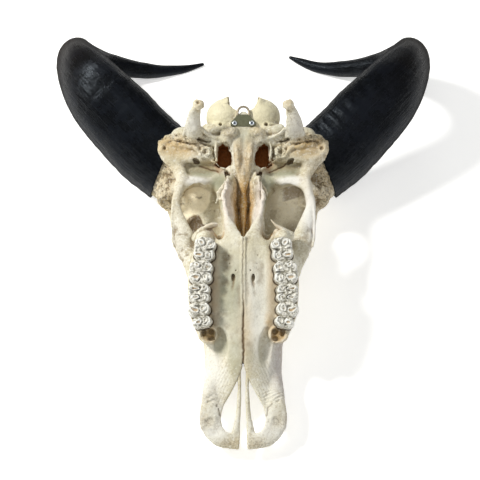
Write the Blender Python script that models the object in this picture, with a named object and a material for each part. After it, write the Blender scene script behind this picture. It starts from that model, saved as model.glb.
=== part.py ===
"""A buffalo skull at life size, lying palate up on its nasal tips and its two horns.

The skull is built in its own frame, in millimetres: X to the animal's right, Y towards the tail and Z towards the
belly, with zero on the palate between the last molars. A rest pose then lays it down on the floor, in metres.
"""

import math

import bmesh
import bpy
from mathutils import Matrix, Vector

# Driving dimensions, in millimetres and degrees
SEAM = 0.3
VOXEL = 2.2
MM = 0.001
BONE_TRIANGLES = 7400
REST_TILT = 23.55
REST_HEIGHT = 133.4
REST_BACK = 97.9
CROWN_TOP = 20.0
PLATE_Z = -56.5
PLATE_THICKNESS = 2.2
SCREW_X = 11.8

# Each tooth of one side: name, distance from the midline, place along the palate, width and length
TEETH = (
    ("third_molar", 49.6, -14.3, 28.0, 31.0),
    ("second_molar", 54.2, -44.5, 31.0, 31.0),
    ("first_molar", 56.0, -71.5, 29.0, 25.0),
    ("fourth_premolar", 56.4, -92.2, 28.5, 18.4),
    ("third_premolar", 52.3, -108.2, 25.0, 14.6),
)

# The horn of one side: x, y, z, half thickness and half breadth along its middle line
HORN = (
    (62.0, 92.0, -130.0, 34.0, 50.0),
    (99.0, 124.0, -124.0, 36.0, 54.0),
    (140.0, 157.5, -117.0, 36.0, 56.5),
    (172.5, 192.0, -112.0, 35.0, 55.0),
    (198.0, 219.5, -110.0, 34.0, 53.0),
    (219.0, 244.5, -113.0, 33.0, 48.5),
    (235.0, 269.0, -125.0, 31.0, 43.0),
    (245.0, 291.0, -147.0, 29.0, 37.0),
    (248.0, 307.0, -177.0, 26.0, 31.5),
    (238.0, 316.0, -210.0, 21.0, 25.0),
    (218.0, 318.0, -233.0, 17.0, 20.0),
    (191.0, 318.5, -250.0, 14.0, 15.5),
)
# The last part of each horn: the right tip turns up more than the left one
HORN_TIPS = {
    "r": (
        (164.5, 320.5, -265.0, 12.0, 13.0),
        (140.0, 323.5, -275.0, 10.5, 11.0),
        (116.0, 329.0, -282.0, 8.5, 8.8),
        (92.0, 340.0, -289.0, 6.0, 6.2),
        (75.5, 348.5, -293.0, 2.5, 2.6),
    ),
    "l": (
        (164.5, 318.0, -263.0, 12.0, 13.0),
        (140.0, 318.5, -272.0, 10.5, 11.0),
        (116.0, 322.0, -279.0, 8.5, 8.8),
        (90.0, 327.0, -284.0, 6.0, 6.2),
        (65.0, 335.0, -287.0, 2.5, 2.6),
    ),
}
HORN_UP = (-0.3, 0.8, 0.45)
SHEATH_POINT = (110.0, 131.0, -100.0)
SHEATH_OUT = (0.905, 0.42, 0.05)

# The suture between the maxilla and the premaxilla of the right side
FRONT_SEAM = (40.0, -215.0, 0.0)
FRONT_OUT = (0.637, -0.771, -0.62)

COLOURS = {
    "bone": (0.78, 0.72, 0.60, 1.0),
    "horn": (0.018, 0.018, 0.021, 1.0),
    "plate": (0.20, 0.20, 0.14, 1.0),
    "screw": (0.62, 0.66, 0.70, 1.0),
}


def material(name, roughness, metallic=0.0):
    made = bpy.data.materials.new(name)
    made.use_nodes = True
    shader = made.node_tree.nodes["Principled BSDF"]
    shader.inputs["Base Color"].default_value = COLOURS[name]
    shader.inputs["Roughness"].default_value = roughness
    shader.inputs["Metallic"].default_value = metallic
    return made


def object_of(name, shape):
    """A new object from a bmesh, with its faces turned outwards."""
    mesh = bpy.data.meshes.new(name)
    shape.normal_update()
    bmesh.ops.recalc_face_normals(shape, faces=shape.faces)
    shape.to_mesh(mesh)
    shape.free()
    made = bpy.data.objects.new(name, mesh)
    bpy.context.scene.collection.objects.link(made)
    return made


def skin(rings):
    """A closed skin over rings of equal count, each end closed by a fan."""
    shape = bmesh.new()
    loops = [[shape.verts.new(p) for p in ring] for ring in rings]
    count = len(loops[0])
    for here, there in zip(loops, loops[1:]):
        for k in range(count):
            after = (k + 1) % count
            shape.faces.new((here[k], here[after], there[after], there[k]))
    for loop in (loops[0], loops[-1]):
        centre = shape.verts.new(sum((v.co for v in loop), Vector()) / count)
        for k in range(count):
            shape.faces.new((loop[k], loop[(k + 1) % count], centre))
    return object_of("skin", shape)


def spline(stations, steps):
    """Points on a Catmull-Rom curve through the stations, with steps points for each span."""
    first = [2 * a - b for a, b in zip(stations[0], stations[1])]
    last = [2 * a - b for a, b in zip(stations[-1], stations[-2])]
    guide = [first, *stations, last]
    made = []
    for before, start, end, after in zip(guide, guide[1:], guide[2:], guide[3:]):
        for k in range(steps):
            t = k / steps
            made.append([
                0.5 * (2 * b + (c - a) * t + (2 * a - 5 * b + 4 * c - d) * t**2 + (3 * b - a - 3 * c + d) * t**3)
                for a, b, c, d in zip(before, start, end, after)
            ])
    made.append(list(stations[-1]))
    return made


def ball(centre, radii, turn=(0, 0, 0)):
    """An ellipsoid, turned by degrees about X, then Y, then Z."""
    shape = bmesh.new()
    bmesh.ops.create_icosphere(shape, subdivisions=4, radius=1)
    turned = Matrix.Identity(4)
    for angle, axis in zip(turn, "XYZ"):
        turned = Matrix.Rotation(math.radians(angle), 4, axis) @ turned
    shape.transform(Matrix.Translation(centre) @ turned @ Matrix.Diagonal((*radii, 1)))
    return object_of("ball", shape)


def block(centre, size, turn=(0, 0, 0), bevel=0.0):
    """A box, with its edges rounded by bevel, turned by degrees about X, then Y, then Z."""
    shape = bmesh.new()
    bmesh.ops.create_cube(shape, size=1)
    shape.transform(Matrix.Diagonal((*size, 1)))
    if bevel:
        bmesh.ops.bevel(shape, geom=shape.edges[:], offset=bevel, segments=2, profile=0.5, affect="EDGES")
    turned = Matrix.Identity(4)
    for angle, axis in zip(turn, "XYZ"):
        turned = Matrix.Rotation(math.radians(angle), 4, axis) @ turned
    shape.transform(Matrix.Translation(centre) @ turned)
    return object_of("block", shape)


def tube(stations, up=(0, 0, 1), sides=20, steps=5, grow=0.0):
    """A bar with oval sections and rounded ends through stations of x, y, z, half width and half height."""
    path = spline(stations, steps)
    upward = Vector(up).normalized()
    sections = []
    for k, (*place, width, height) in enumerate(path):
        ahead = Vector(path[min(k + 1, len(path) - 1)][:3])
        behind = Vector(path[max(k - 1, 0)][:3])
        along = (ahead - behind).normalized()
        side = along.cross(upward).normalized()
        sections.append((Vector(place), along, side * (width + grow), side.cross(along) * (height + grow)))

    def ring(section, size, reach):
        place, along, side, over = section
        centre = place + along * reach * min(side.length, over.length)
        angles = [2 * math.pi * k / sides for k in range(sides)]
        return [centre + side * size * math.cos(a) + over * size * math.sin(a) for a in angles]

    rounding = ((0.30, 0.92), (0.66, 0.72), (0.90, 0.40))
    rings = [ring(sections[0], size, -reach) for size, reach in rounding]
    rings += [ring(section, 1.0, 0.0) for section in sections]
    rings += [ring(sections[-1], size, reach) for size, reach in reversed(rounding)]
    return skin(rings)


def loft(stations, sides=36, steps=4, corner=0.55):
    """A body on the midline through stations of y, belly z, back z and its three half widths from belly to back."""
    rings = []
    for y, belly, back, low, middle, high in spline(stations, steps):
        ring = []
        for k in range(sides):
            a = 2 * math.pi * k / sides
            s = math.copysign(abs(math.sin(a)) ** 0.8, math.sin(a))
            width = middle * (1 - s * s) + low * s * (s + 1) / 2 + high * s * (s - 1) / 2
            x = width * math.copysign(abs(math.cos(a)) ** corner, math.cos(a))
            ring.append(Vector((x, y, (belly + back) / 2 + (belly - back) / 2 * s)))
        rings.append(ring)
    return skin(rings)


def prism(outline, low, high):
    """A cutter on the midline between two heights, from the outline of its right half listed from front to back."""
    plan = [*outline, *[(-x, y) for x, y in reversed(outline)]]
    return skin([[Vector((x, y, z)) for x, y in plan] for z in (low, high)])


def mirrored(form):
    """A copy of a form for the other side of the head."""
    shape = bmesh.new()
    shape.from_mesh(form.data)
    shape.transform(Matrix.Diagonal((-1, 1, 1, 1)))
    return object_of(form.name, shape)


def both(forms):
    """The forms of one side with those of the other."""
    return [made for form in forms for made in (form, mirrored(form))]


def apply(target, *settings):
    """Puts modifiers on an object and replaces its mesh by the result."""
    for kind, values in settings:
        modifier = target.modifiers.new(kind.lower(), kind)
        for key, value in values.items():
            setattr(modifier, key, value)
    bpy.context.view_layer.update()
    result = bpy.data.meshes.new_from_object(target.evaluated_get(bpy.context.evaluated_depsgraph_get()))
    target.modifiers.clear()
    target.data = result
    return target


def combine(target, operation, forms, solver="MANIFOLD"):
    """One Boolean of the target with a collection of closed forms, which are then removed."""
    group = bpy.data.collections.new("forms")
    bpy.context.scene.collection.children.link(group)
    for form in forms:
        bpy.context.scene.collection.objects.unlink(form)
        group.objects.link(form)
    settings = {"operation": operation, "operand_type": "COLLECTION", "collection": group, "solver": solver}
    apply(target, ("BOOLEAN", settings))
    for form in forms:
        bpy.data.objects.remove(form)
    bpy.data.collections.remove(group)
    return target


def unite(forms):
    return combine(forms[0], "UNION", forms[1:])


def subtract(target, forms):
    return combine(target, "DIFFERENCE", forms)


def copy_of(form):
    made = form.copy()
    made.data = form.data.copy()
    bpy.context.scene.collection.objects.link(made)
    return made


def common(form, region):
    """The part of a form inside a closed region."""
    apply(form, ("BOOLEAN", {"operation": "INTERSECT", "object": region, "solver": "MANIFOLD"}))
    bpy.data.objects.remove(region)
    return form


def largest(form):
    """Keeps only the largest closed surface of an object."""
    shape = bmesh.new()
    shape.from_mesh(form.data)
    left = set(shape.verts)
    islands = []
    while left:
        start = left.pop()
        island = {start}
        front = [start]
        while front:
            vertex = front.pop()
            for edge in vertex.link_edges:
                other = edge.other_vert(vertex)
                if other in left:
                    left.remove(other)
                    island.add(other)
                    front.append(other)
        islands.append(island)

    def span(island):
        corners = [[f(v.co[k] for v in island) for k in range(3)] for f in (min, max)]
        return (Vector(corners[1]) - Vector(corners[0])).length

    islands.sort(key=span, reverse=True)
    for island in islands[1:]:
        bmesh.ops.delete(shape, geom=list(island), context="VERTS")
    shape.to_mesh(form.data)
    shape.free()
    return form


def braincase_and_frontals():
    skull_base = loft((
        (16, -74, -120, 14, 22, 40),
        (48, -72, -130, 16, 24, 46),
        (78, -68, -140, 22, 38, 60),
        (104, -64, -150, 32, 54, 66),
        (130, -62, -150, 40, 62, 70),
        (156, -62, -150, 42, 70, 70),
        (176, -70, -150, 40, 62, 60),
        (190, -88, -140, 28, 48, 44),
    ))
    forehead = loft((
        (0, -104, -134, 40, 70, 66),
        (28, -108, -147, 64, 88, 76),
        (55, -112, -158, 60, 94, 80),
        (82, -110, -167, 58, 90, 78),
        (110, -100, -175, 60, 86, 76),
        (140, -92, -179, 60, 84, 76),
        (166, -92, -176, 56, 76, 70),
        (184, -104, -164, 44, 58, 52),
    ))
    core_root = tube((
        (50, 90, -132, 34, 46),
        (75, 106, -130, 34, 48),
        (99, 124, -124, 34, 50),
        (122, 143, -119, 33, 50),
    ), up=HORN_UP)
    core_flare = ball((98, 88, -113), (24, 28, 22), (0, 0, 30))
    return [skull_base, forehead, *both([core_root, core_flare])]


def skull_underside():
    basioccipital = tube((
        (0, 184, -70, 26, 12),
        (0, 166, -66, 25, 12),
        (0, 143, -63, 22, 11),
        (0, 127, -64, 15, 10),
        (0, 110, -67, 14, 10),
        (0, 92, -70, 11, 10),
        (0, 78, -74, 6, 9),
    ))
    side = [
        ball((21, 157, -56), (9, 9, 10)),
        ball((33, 193, -78), (17, 22, 20), (0, 0, 35)),
        ball((30, 178, -72), (16, 12, 12)),
        tube(((70, 160, -82, 13, 12), (70, 166, -58, 11, 8), (66, 176, -36, 8, 5.5), (60, 187, -16, 4.5, 3.5)),
             up=(0, 1, 0.3)),
        ball((84, 160, -86), (18, 16, 17)),
        ball((60, 150, -84), (26, 22, 22)),
        tube(((48, 134, -70, 11, 9), (78, 134, -67, 11, 8), (104, 140, -72, 14, 8))),
        ball((95, 138, -73), (20, 20, 8)),
        ball((48, 150, -70), (9, 10, 10)),
        tube(((30, 101, -84, 8, 10), (54, 99, -77, 8, 9), (82, 94, -69, 7, 8))),
        ball((62, 114, -102), (30, 20, 14)),
    ]
    return [basioccipital, *both(side)]


def pterygoids():
    plate = tube((
        (22, -4, -36, 5, 30),
        (22, 6, -38, 4.5, 32),
        (22.5, 26, -43, 4, 35),
        (24, 46, -50, 4, 33),
        (24, 64, -56, 4, 32),
        (17, 86, -62, 4, 23),
        (13, 98, -68, 5, 14),
    ))
    return both([plate])


def orbits():
    rim = tube((
        (86, 2, -78, 7, 7),
        (88, 6, -104, 7, 7),
        (92, 24, -124, 8, 7),
        (97, 48, -127, 8, 7),
        (99, 68, -114, 8, 7),
        (97, 75, -92, 8, 6),
        (92, 72, -66, 7, 6),
    ), up=(1, 0, 0))
    arch = tube((
        (58, -46, -28, 13, 15),
        (70, -34, -34, 13, 18),
        (80, -12, -42, 15, 18),
        (82, 10, -53, 14.5, 15),
        (85, 32, -60, 11, 12),
        (88.5, 56, -62, 8, 10),
        (88, 77, -67, 10, 9),
        (88, 97, -73, 12, 9),
        (100, 120, -79, 9, 9),
        (106, 136, -79, 8, 9),
    ))
    return both([rim, arch])


def face():
    body = loft((
        (-229, -6, -20, 34, 38, 34),
        (-210, -5, -40, 38, 46, 38),
        (-186, -3, -62, 31, 49, 34),
        (-166, 1, -70, 22, 50, 30),
        (-146, 3, -78, 22, 51, 30),
        (-128, 3, -84, 34, 53, 30),
        (-108, 2, -92, 52, 58, 31),
        (-78, 2, -102, 60, 66, 34),
        (-48, 2, -113, 60, 71, 42),
        (-18, 2, -124, 54, 75, 56),
        (6, -3, -134, 44, 74, 70),
        (18, -20, -140, 30, 66, 78),
    ))
    row = tube((
        (51, 4, -14, 12, 16),
        (52, -14, -14, 14, 17),
        (56, -44, -14, 16, 18),
        (57, -71, -14, 15, 18),
        (55, -96, -13, 14, 17),
        (47, -122, -10, 11, 14),
    ))
    palatine = tube(((7, 0, -7, 11, 6), (16, 15, -9, 9, 6), (21, 29, -12, 5, 7)))
    tuber = tube(((32, 25, -22, 5, 9), (46, 17, -20, 6, 10), (60, 10, -22, 7, 9)))
    return [body, *both([row, palatine, tuber])]


def palatine_process(grow=0.0):
    """The thin rod of the right premaxilla beside the midline."""
    return tube((
        (9, -250, -6, 6, 4.5),
        (7.5, -238, -6, 4.8, 4.5),
        (6.2, -226, -6, 3.7, 4.5),
        (5, -203, -6, 2.6, 4.5),
        (4.8, -184, -6.5, 2.3, 4.5),
        (6, -166, -8, 4, 5),
    ), sides=10, steps=1, grow=grow)


def premaxilla():
    """The front bone of the right side: a flat end, its thin palatine process and its branch up the muzzle."""
    plate = tube((
        (43, -190, -16, 9, 9),
        (42, -210, -10, 12, 7.5),
        (40, -229, -7, 13.5, 6.5),
        (32, -246, -6, 12.5, 6),
        (18, -255, -5.5, 11.5, 5.5),
        (6, -257, -5, 10.5, 5),
    ), sides=14, steps=2)
    branch = tube((
        (46, -206, -18, 5, 10),
        (47.5, -192, -32, 4.5, 14),
        (46, -178, -48, 4.5, 12),
        (42, -162, -60, 4.5, 7),
    ), sides=12, steps=2)
    front = common(unite([plate, branch]), half_space(FRONT_SEAM, [-k for k in FRONT_OUT], SEAM / 2))
    gap = tube(((0, -275, -5, 5.4, 25), (0, -240, -5, 3.6, 25), (0, -190, -5, 2.4, 25), (0, -150, -5, 2.2, 25)),
               sides=4, steps=1)
    return largest(subtract(unite([front, palatine_process()]), [gap]))


def bone_hollows():
    """The openings that show inside the bone: nose, choana, orbit, skull base and foramen magnum."""
    nose = tube(((0, -270, -44, 40, 32), (0, -200, -40, 41, 27), (0, -160, -44, 38, 28), (0, -120, -52, 30, 28),
                 (0, -80, -62, 18, 22)))
    choana = tube(((0, 88, -52, 8, 12), (0, 66, -46, 17, 26), (0, 40, -42, 18, 30), (0, 12, -38, 16, 24),
                   (0, -14, -42, 12, 14)))
    choana_edge = prism(((0.5, 4), (8, 17), (17, 33), (19.5, 60), (12, 84), (0.5, 80)), -40, 20)
    fissure = prism(((28, -250), (28, -222), (25.5, -213), (21, -205.4), (14, -193), (8, -182), (3.5, -171),
                     (0.5, -162)), -40, 20)
    magnum = tube(((0, 228, -80, 23, 34), (0, 206, -80, 17, 32), (0, 193, -84, 11, 28), (0, 150, -100, 13, 13)))
    side = [
        tube(((25, 146, -40, 6, 9), (27, 134, -60, 7, 13), (24, 128, -84, 6, 10)), up=(0, 1, 0)),
        ball((88, 38, -92), (36, 29, 27)),
        ball((60, 40, -84), (24, 26, 24)),
        tube(((44, -124, 12, 5, 7), (44, -124, -10, 4, 6)), up=(0, 1, 0)),
        tube(((33, 14, 14, 6, 10), (33, 14, -24, 6, 12), (34, 30, -50, 6, 14)), up=(0, 1, 0)),
    ]
    return [nose, choana, choana_edge, fissure, magnum, *both(side)]


def nasals():
    return loft((
        (-160, -70, -78, 9, 14, 9),
        (-140, -74, -84, 14, 18, 14),
        (-100, -84, -97, 16, 21, 16),
        (-60, -94, -111, 18, 24, 18),
        (-20, -108, -126, 18, 26, 20),
    ))


def crowns():
    """The tooth crowns of one side, each sunk into the jaw."""
    made = []
    for _, x, y, width, length in TEETH:
        size = (width - 1.0, length - 1.4, CROWN_TOP + 12)
        made.append(block((x, y, CROWN_TOP / 2 - 6), size, bevel=3.0))
    return made


def horn(side, grow=0.0):
    """The horn sheath of one side, cut square to SHEATH_OUT where it meets the core."""
    sheath = tube(HORN + HORN_TIPS[side], up=HORN_UP, sides=16, steps=2, grow=grow)
    outwards = Vector(SHEATH_OUT).normalized()
    turn = outwards.to_track_quat("Z", "Y").to_euler("XYZ")
    centre = Vector(SHEATH_POINT) - outwards * (100 + grow)
    cutter = block(centre, (260, 260, 200), [math.degrees(a) for a in turn])
    sheath = largest(subtract(sheath, [cutter]))
    if side == "r":
        return sheath
    flipped = mirrored(sheath)
    bpy.data.objects.remove(sheath)
    return flipped


def hanger_plate(grow=0.0):
    """The small steel plate between the condyles, which narrows towards the back of the head."""
    z = PLATE_Z
    outline = ((17.5, 168), (17.5, 174), (11, 180), (9.5, 185))
    corners = [(x + grow, y + (grow if y > 180 else -grow if y < 170 else 0)) for x, y in outline]
    return prism(corners, z - grow, z + PLATE_THICKNESS + grow * 40)


def hanger_screw(side):
    """A flat screw head on the plate."""
    shape = bmesh.new()
    bmesh.ops.create_cone(shape, cap_ends=True, segments=20, radius1=3.6, radius2=3.0, depth=1.4)
    shape.transform(Matrix.Translation((side * SCREW_X, 172.3, PLATE_Z + PLATE_THICKNESS + SEAM + 0.7)))
    return object_of("screw", shape)


def hanger_loop():
    """The half ring at the back edge of the plate."""
    z = PLATE_Z + PLATE_THICKNESS / 2
    start = 185 + SEAM + 1.9
    path = [(8 * math.cos(a), start + 9 * math.sin(a), z, 1.9, 1.6) for a in
            (math.pi * k / 12 for k in range(13))]
    return tube(path, sides=10, steps=1)


def half_space(point, outwards, gap):
    """A large block behind a plane, held back from it by gap."""
    normal = Vector(outwards).normalized()
    turn = normal.to_track_quat("Z", "Y").to_euler("XYZ")
    return block(Vector(point) - normal * (500 + gap), (1000, 1000, 1000), [math.degrees(a) for a in turn])


def bone():
    """All the bone of the skull in one skin, with its teeth."""
    forms = [*braincase_and_frontals(), *skull_underside(), *pterygoids(), *orbits(), *face(), nasals()]
    whole = unite(forms)
    subtract(whole, bone_hollows())
    apply(whole,
          ("REMESH", {"mode": "VOXEL", "voxel_size": VOXEL}),
          ("SMOOTH", {"factor": 0.6, "iterations": 4}))
    largest(whole)
    faces = 2 * len(whole.data.polygons)
    apply(whole, ("DECIMATE", {"ratio": BONE_TRIANGLES / faces}))
    return unite([whole, *both(crowns())])


def parted(whole):
    """The bone parted at its sutures into named pieces."""
    made = {}
    subtract(whole, [horn("r", grow=SEAM), horn("l", grow=SEAM), hanger_plate(grow=SEAM)])
    subtract(whole, both([palatine_process(grow=SEAM)]))

    for name, side in (("zygomatic_r", 1), ("zygomatic_l", -1)):
        centre = (side * 127, 33, -35)
        piece = common(copy_of(whole), block(centre, (100, 128, 88)))
        made[name] = piece
        subtract(whole, [block(centre, (100 + 2 * SEAM, 128 + 2 * SEAM, 88 + 2 * SEAM))])

    for name, side in (("nasal_r", 1), ("nasal_l", -1)):
        centre = (side * (12 + SEAM / 2), -95, -95)
        made[name] = common(copy_of(whole), block(centre, (24, 150, 26), (-17, 0, 0)))
    subtract(whole, [block((0, -95, -95), (48 + 3 * SEAM, 150 + 2 * SEAM, 26 + 2 * SEAM), (-17, 0, 0))])

    right = premaxilla()
    made["premaxilla_r"], made["premaxilla_l"] = right, mirrored(right)
    ahead = half_space(FRONT_SEAM, FRONT_OUT, SEAM / 2)
    left_side = mirrored(ahead)
    common(whole, ahead)
    common(whole, left_side)

    seam = ((0, 33, 0), (0, 1, -0.2))
    made["upper_jaw"] = common(copy_of(whole), half_space(seam[0], seam[1], SEAM / 2))
    made["cranium"] = common(whole, half_space(seam[0], [-k for k in seam[1]], SEAM / 2))
    return {name: largest(piece) for name, piece in made.items()}


def finish(piece, name, shade):
    """Names a piece, lays it down in the rest pose in metres and gives it its material."""
    tilt = Matrix.Rotation(math.radians(REST_TILT), 4, "X")
    piece.data.transform(Matrix.Translation((0, -REST_BACK, REST_HEIGHT)) @ tilt)
    if min(v.co.z for v in piece.data.vertices) < 0:
        subtract(piece, [block((0, 0, -50), (2000, 2000, 100))])
    piece.data.transform(Matrix.Scale(MM, 4))
    piece.name = piece.data.name = name
    piece.data.materials.clear()
    piece.data.materials.append(shade)
    for face in piece.data.polygons:
        face.use_smooth = True


def main():
    for old in list(bpy.data.objects):
        bpy.data.objects.remove(old)
    shades = {
        "bone": material("bone", 0.6),
        "horn": material("horn", 0.4),
        "plate": material("plate", 0.5, 0.6),
        "screw": material("screw", 0.3, 1.0),
    }
    pieces = parted(bone())
    for name, piece in pieces.items():
        finish(piece, name, shades["bone"])
    for side in "rl":
        finish(horn(side), "horn_" + side, shades["horn"])
        finish(hanger_screw(1 if side == "r" else -1), "hanger_screw_" + side, shades["screw"])
    finish(hanger_plate(), "hanger_plate", shades["plate"])
    finish(hanger_loop(), "hanger_loop", shades["plate"])


main()
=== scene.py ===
"""The looks of a cape buffalo skull that lies palate up: weathered bone, worn teeth, black horns and a steel hanger.

Forms are given in the skull's own frame, in millimetres: X to the animal's right, Y towards the tail and Z towards
the belly, with zero on the palate between the last molars. Each body of bone is modelled as a field of distances to
its skin, then meshed. The rest pose lays every piece on the floor, in metres.
"""

import itertools
import math
from functools import partial

import bmesh
import bpy
import numpy as np
from mathutils import Matrix, Vector


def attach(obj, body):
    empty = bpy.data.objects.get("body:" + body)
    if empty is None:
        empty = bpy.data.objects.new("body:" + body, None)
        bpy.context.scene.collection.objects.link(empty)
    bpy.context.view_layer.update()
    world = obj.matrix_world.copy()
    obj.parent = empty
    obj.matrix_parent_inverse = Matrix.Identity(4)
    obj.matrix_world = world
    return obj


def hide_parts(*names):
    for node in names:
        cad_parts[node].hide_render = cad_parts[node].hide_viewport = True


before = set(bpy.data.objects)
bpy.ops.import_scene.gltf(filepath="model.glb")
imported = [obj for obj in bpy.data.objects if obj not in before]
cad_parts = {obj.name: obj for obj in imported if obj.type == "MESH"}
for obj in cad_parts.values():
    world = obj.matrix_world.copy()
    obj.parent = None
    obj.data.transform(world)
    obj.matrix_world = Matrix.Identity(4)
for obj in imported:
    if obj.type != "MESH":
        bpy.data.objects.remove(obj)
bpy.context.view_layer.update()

# Steps of the grids of distances, the distance that stands for far away, and a box that holds everything
PITCH = 1.1
FRONT_PITCH = PITCH * 0.8
CROWN_PITCH = PITCH * 0.42
FAR = 40.0
EVERYWHERE = (np.full(3, -1e4), np.full(3, 1e4))
# How the skull lies: tilted about X, then raised and moved back
REST_TILT = 23.55
REST_HEIGHT = 133.4
REST_BACK = 97.9
REST = (Matrix.Scale(0.001, 4) @ Matrix.Translation((0, -REST_BACK, REST_HEIGHT))
        @ Matrix.Rotation(math.radians(REST_TILT), 4, "X"))
LATTICE_SIDE = 32
LATTICE = np.random.default_rng(11).uniform(-1, 1, (LATTICE_SIDE,) * 3).astype(np.float32)

# Name, distance from the midline, place along the palate, width, length, lobes and turn of each right tooth
TEETH = (
    ("third_molar", 49.6, -14.3, 28.0, 31.0, 2, 7),
    ("second_molar", 54.2, -44.5, 31.0, 31.0, 2, 4),
    ("first_molar", 56.0, -71.5, 29.0, 25.0, 2, 0),
    ("fourth_premolar", 56.4, -92.2, 28.5, 18.4, 1, -4),
    ("third_premolar", 52.3, -108.2, 25.0, 14.6, 1, -10),
)
# Heights of the chewing surface and of the cut end, and the gap between a crown and its socket
CROWN_TOP = 20.0
CROWN_FOOT = -5.5
SOCKET_GAP = 0.6

# The horn of one side: x, y, z, half thickness and half breadth along its middle line
HORN = (
    (62.0, 92.0, -130.0, 34.0, 50.0),
    (99.0, 124.0, -124.0, 36.0, 54.0),
    (140.0, 157.5, -117.0, 36.0, 56.5),
    (172.5, 192.0, -112.0, 35.0, 55.0),
    (198.0, 219.5, -110.0, 34.0, 53.0),
    (219.0, 244.5, -113.0, 33.0, 48.5),
    (235.0, 269.0, -125.0, 31.0, 43.0),
    (245.0, 291.0, -147.0, 29.0, 37.0),
    (248.0, 307.0, -177.0, 26.0, 31.5),
    (238.0, 316.0, -210.0, 21.0, 25.0),
    (218.0, 318.0, -233.0, 17.0, 20.0),
    (191.0, 318.5, -250.0, 14.0, 15.5),
)
HORN_TIPS = {
    "r": (
        (164.5, 320.5, -265.0, 12.0, 13.0),
        (140.0, 323.5, -275.0, 10.5, 11.0),
        (116.0, 329.0, -282.0, 8.5, 8.8),
        (92.0, 340.0, -289.0, 6.0, 6.2),
        (75.5, 348.5, -293.0, 2.5, 2.6),
    ),
    "l": (
        (164.5, 318.0, -263.0, 12.0, 13.0),
        (140.0, 318.5, -272.0, 10.5, 11.0),
        (116.0, 322.0, -279.0, 8.5, 8.8),
        (90.0, 327.0, -284.0, 6.0, 6.2),
        (65.0, 335.0, -287.0, 2.5, 2.6),
    ),
}
HORN_UP = (-0.3, 0.8, 0.45)
# The plane where each sheath ends on its core, the seam between the front bones and the jaw, and their gaps
SHEATH_GAP = 0.4
SHEATH_POINT = np.array((110.0, 131.0, -100.0))
SHEATH_OUT = np.array((0.905, 0.42, 0.05)) / np.linalg.norm((0.905, 0.42, 0.05))
SEAM_GAP = 0.8
FRONT_SEAM = np.array((40.0, -215.0, 0.0))
FRONT_OUT = np.array((0.637, -0.771, -0.62)) / np.linalg.norm((0.637, -0.771, -0.62))


# ---------------------------------------------------------------- fields of distance

def spline(stations, steps):
    """Points on a Catmull-Rom curve through the stations, with steps points for each span."""
    s = np.array(stations, float)
    guide = np.vstack([2 * s[0] - s[1], s, 2 * s[-1] - s[-2]])
    t = (np.arange(steps) / steps)[:, None]
    made = [0.5 * (2 * b + (c - a) * t + (2 * a - 5 * b + 4 * c - d) * t**2 + (3 * b - a - 3 * c + d) * t**3)
            for a, b, c, d in zip(guide, guide[1:], guide[2:], guide[3:])]
    return np.vstack([*made, s[-1]])


def between(values, cells, parts):
    """What lies inside each cell, from the values at its eight corners."""
    total = 0
    for corner in itertools.product((0, 1), repeat=3):
        weight = 1
        for part, far in zip(parts, corner):
            weight = weight * (part if far else 1 - part)
        total = total + weight * values(*(cell + far for cell, far in zip(cells, corner)))
    return total


def noise(x, y, z, size, shift=0.0):
    """Soft lumps of about the given size in mm, from -1 to 1."""
    cells, parts = [], []
    for value in (x, y, z):
        value = value / size + shift
        cell = np.floor(value).astype(np.int32)
        part = value - cell
        cells.append(cell)
        parts.append(part * part * (3 - 2 * part))
    return between(lambda *at: LATTICE[tuple(a % LATTICE_SIDE for a in at)], cells, parts)


def ramp(value, width):
    """0 below 0, rising to 1 where the value is as large as the width."""
    return np.clip(value / width, 0, 1)


def peak(value, width):
    """1 where the value is 0, falling away over the width on both sides."""
    return np.exp(-(value / width) ** 2)


def oval(parts, radii):
    """Distance to an ellipsoid from offsets along its own axes."""
    near = np.sqrt(sum((p / r) ** 2 for p, r in zip(parts, radii)))
    slope = np.sqrt(sum((p / r**2) ** 2 for p, r in zip(parts, radii)))
    return near * (near - 1) / np.maximum(slope, 1e-5)


def turned(turn):
    """The axes of a frame turned by degrees about X, then Y, then Z, as columns."""
    made = Matrix.Identity(3)
    for angle, axis in zip(turn, "XYZ"):
        made = Matrix.Rotation(math.radians(angle), 3, axis) @ made
    return np.array(made)


def ball(centre, radii, turn=(0, 0, 0)):
    """An ellipsoid turned by degrees about X, then Y, then Z."""
    axes = turned(turn)
    centre = np.array(centre, float)
    reach = np.sqrt(((axes * np.array(radii)) ** 2).sum(1))

    def distance(*place):
        off = [p - c for p, c in zip(place, centre)]
        return oval([sum(o * a for o, a in zip(off, axes[:, k])) for k in range(3)], radii)

    return centre - reach, centre + reach, distance


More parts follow.
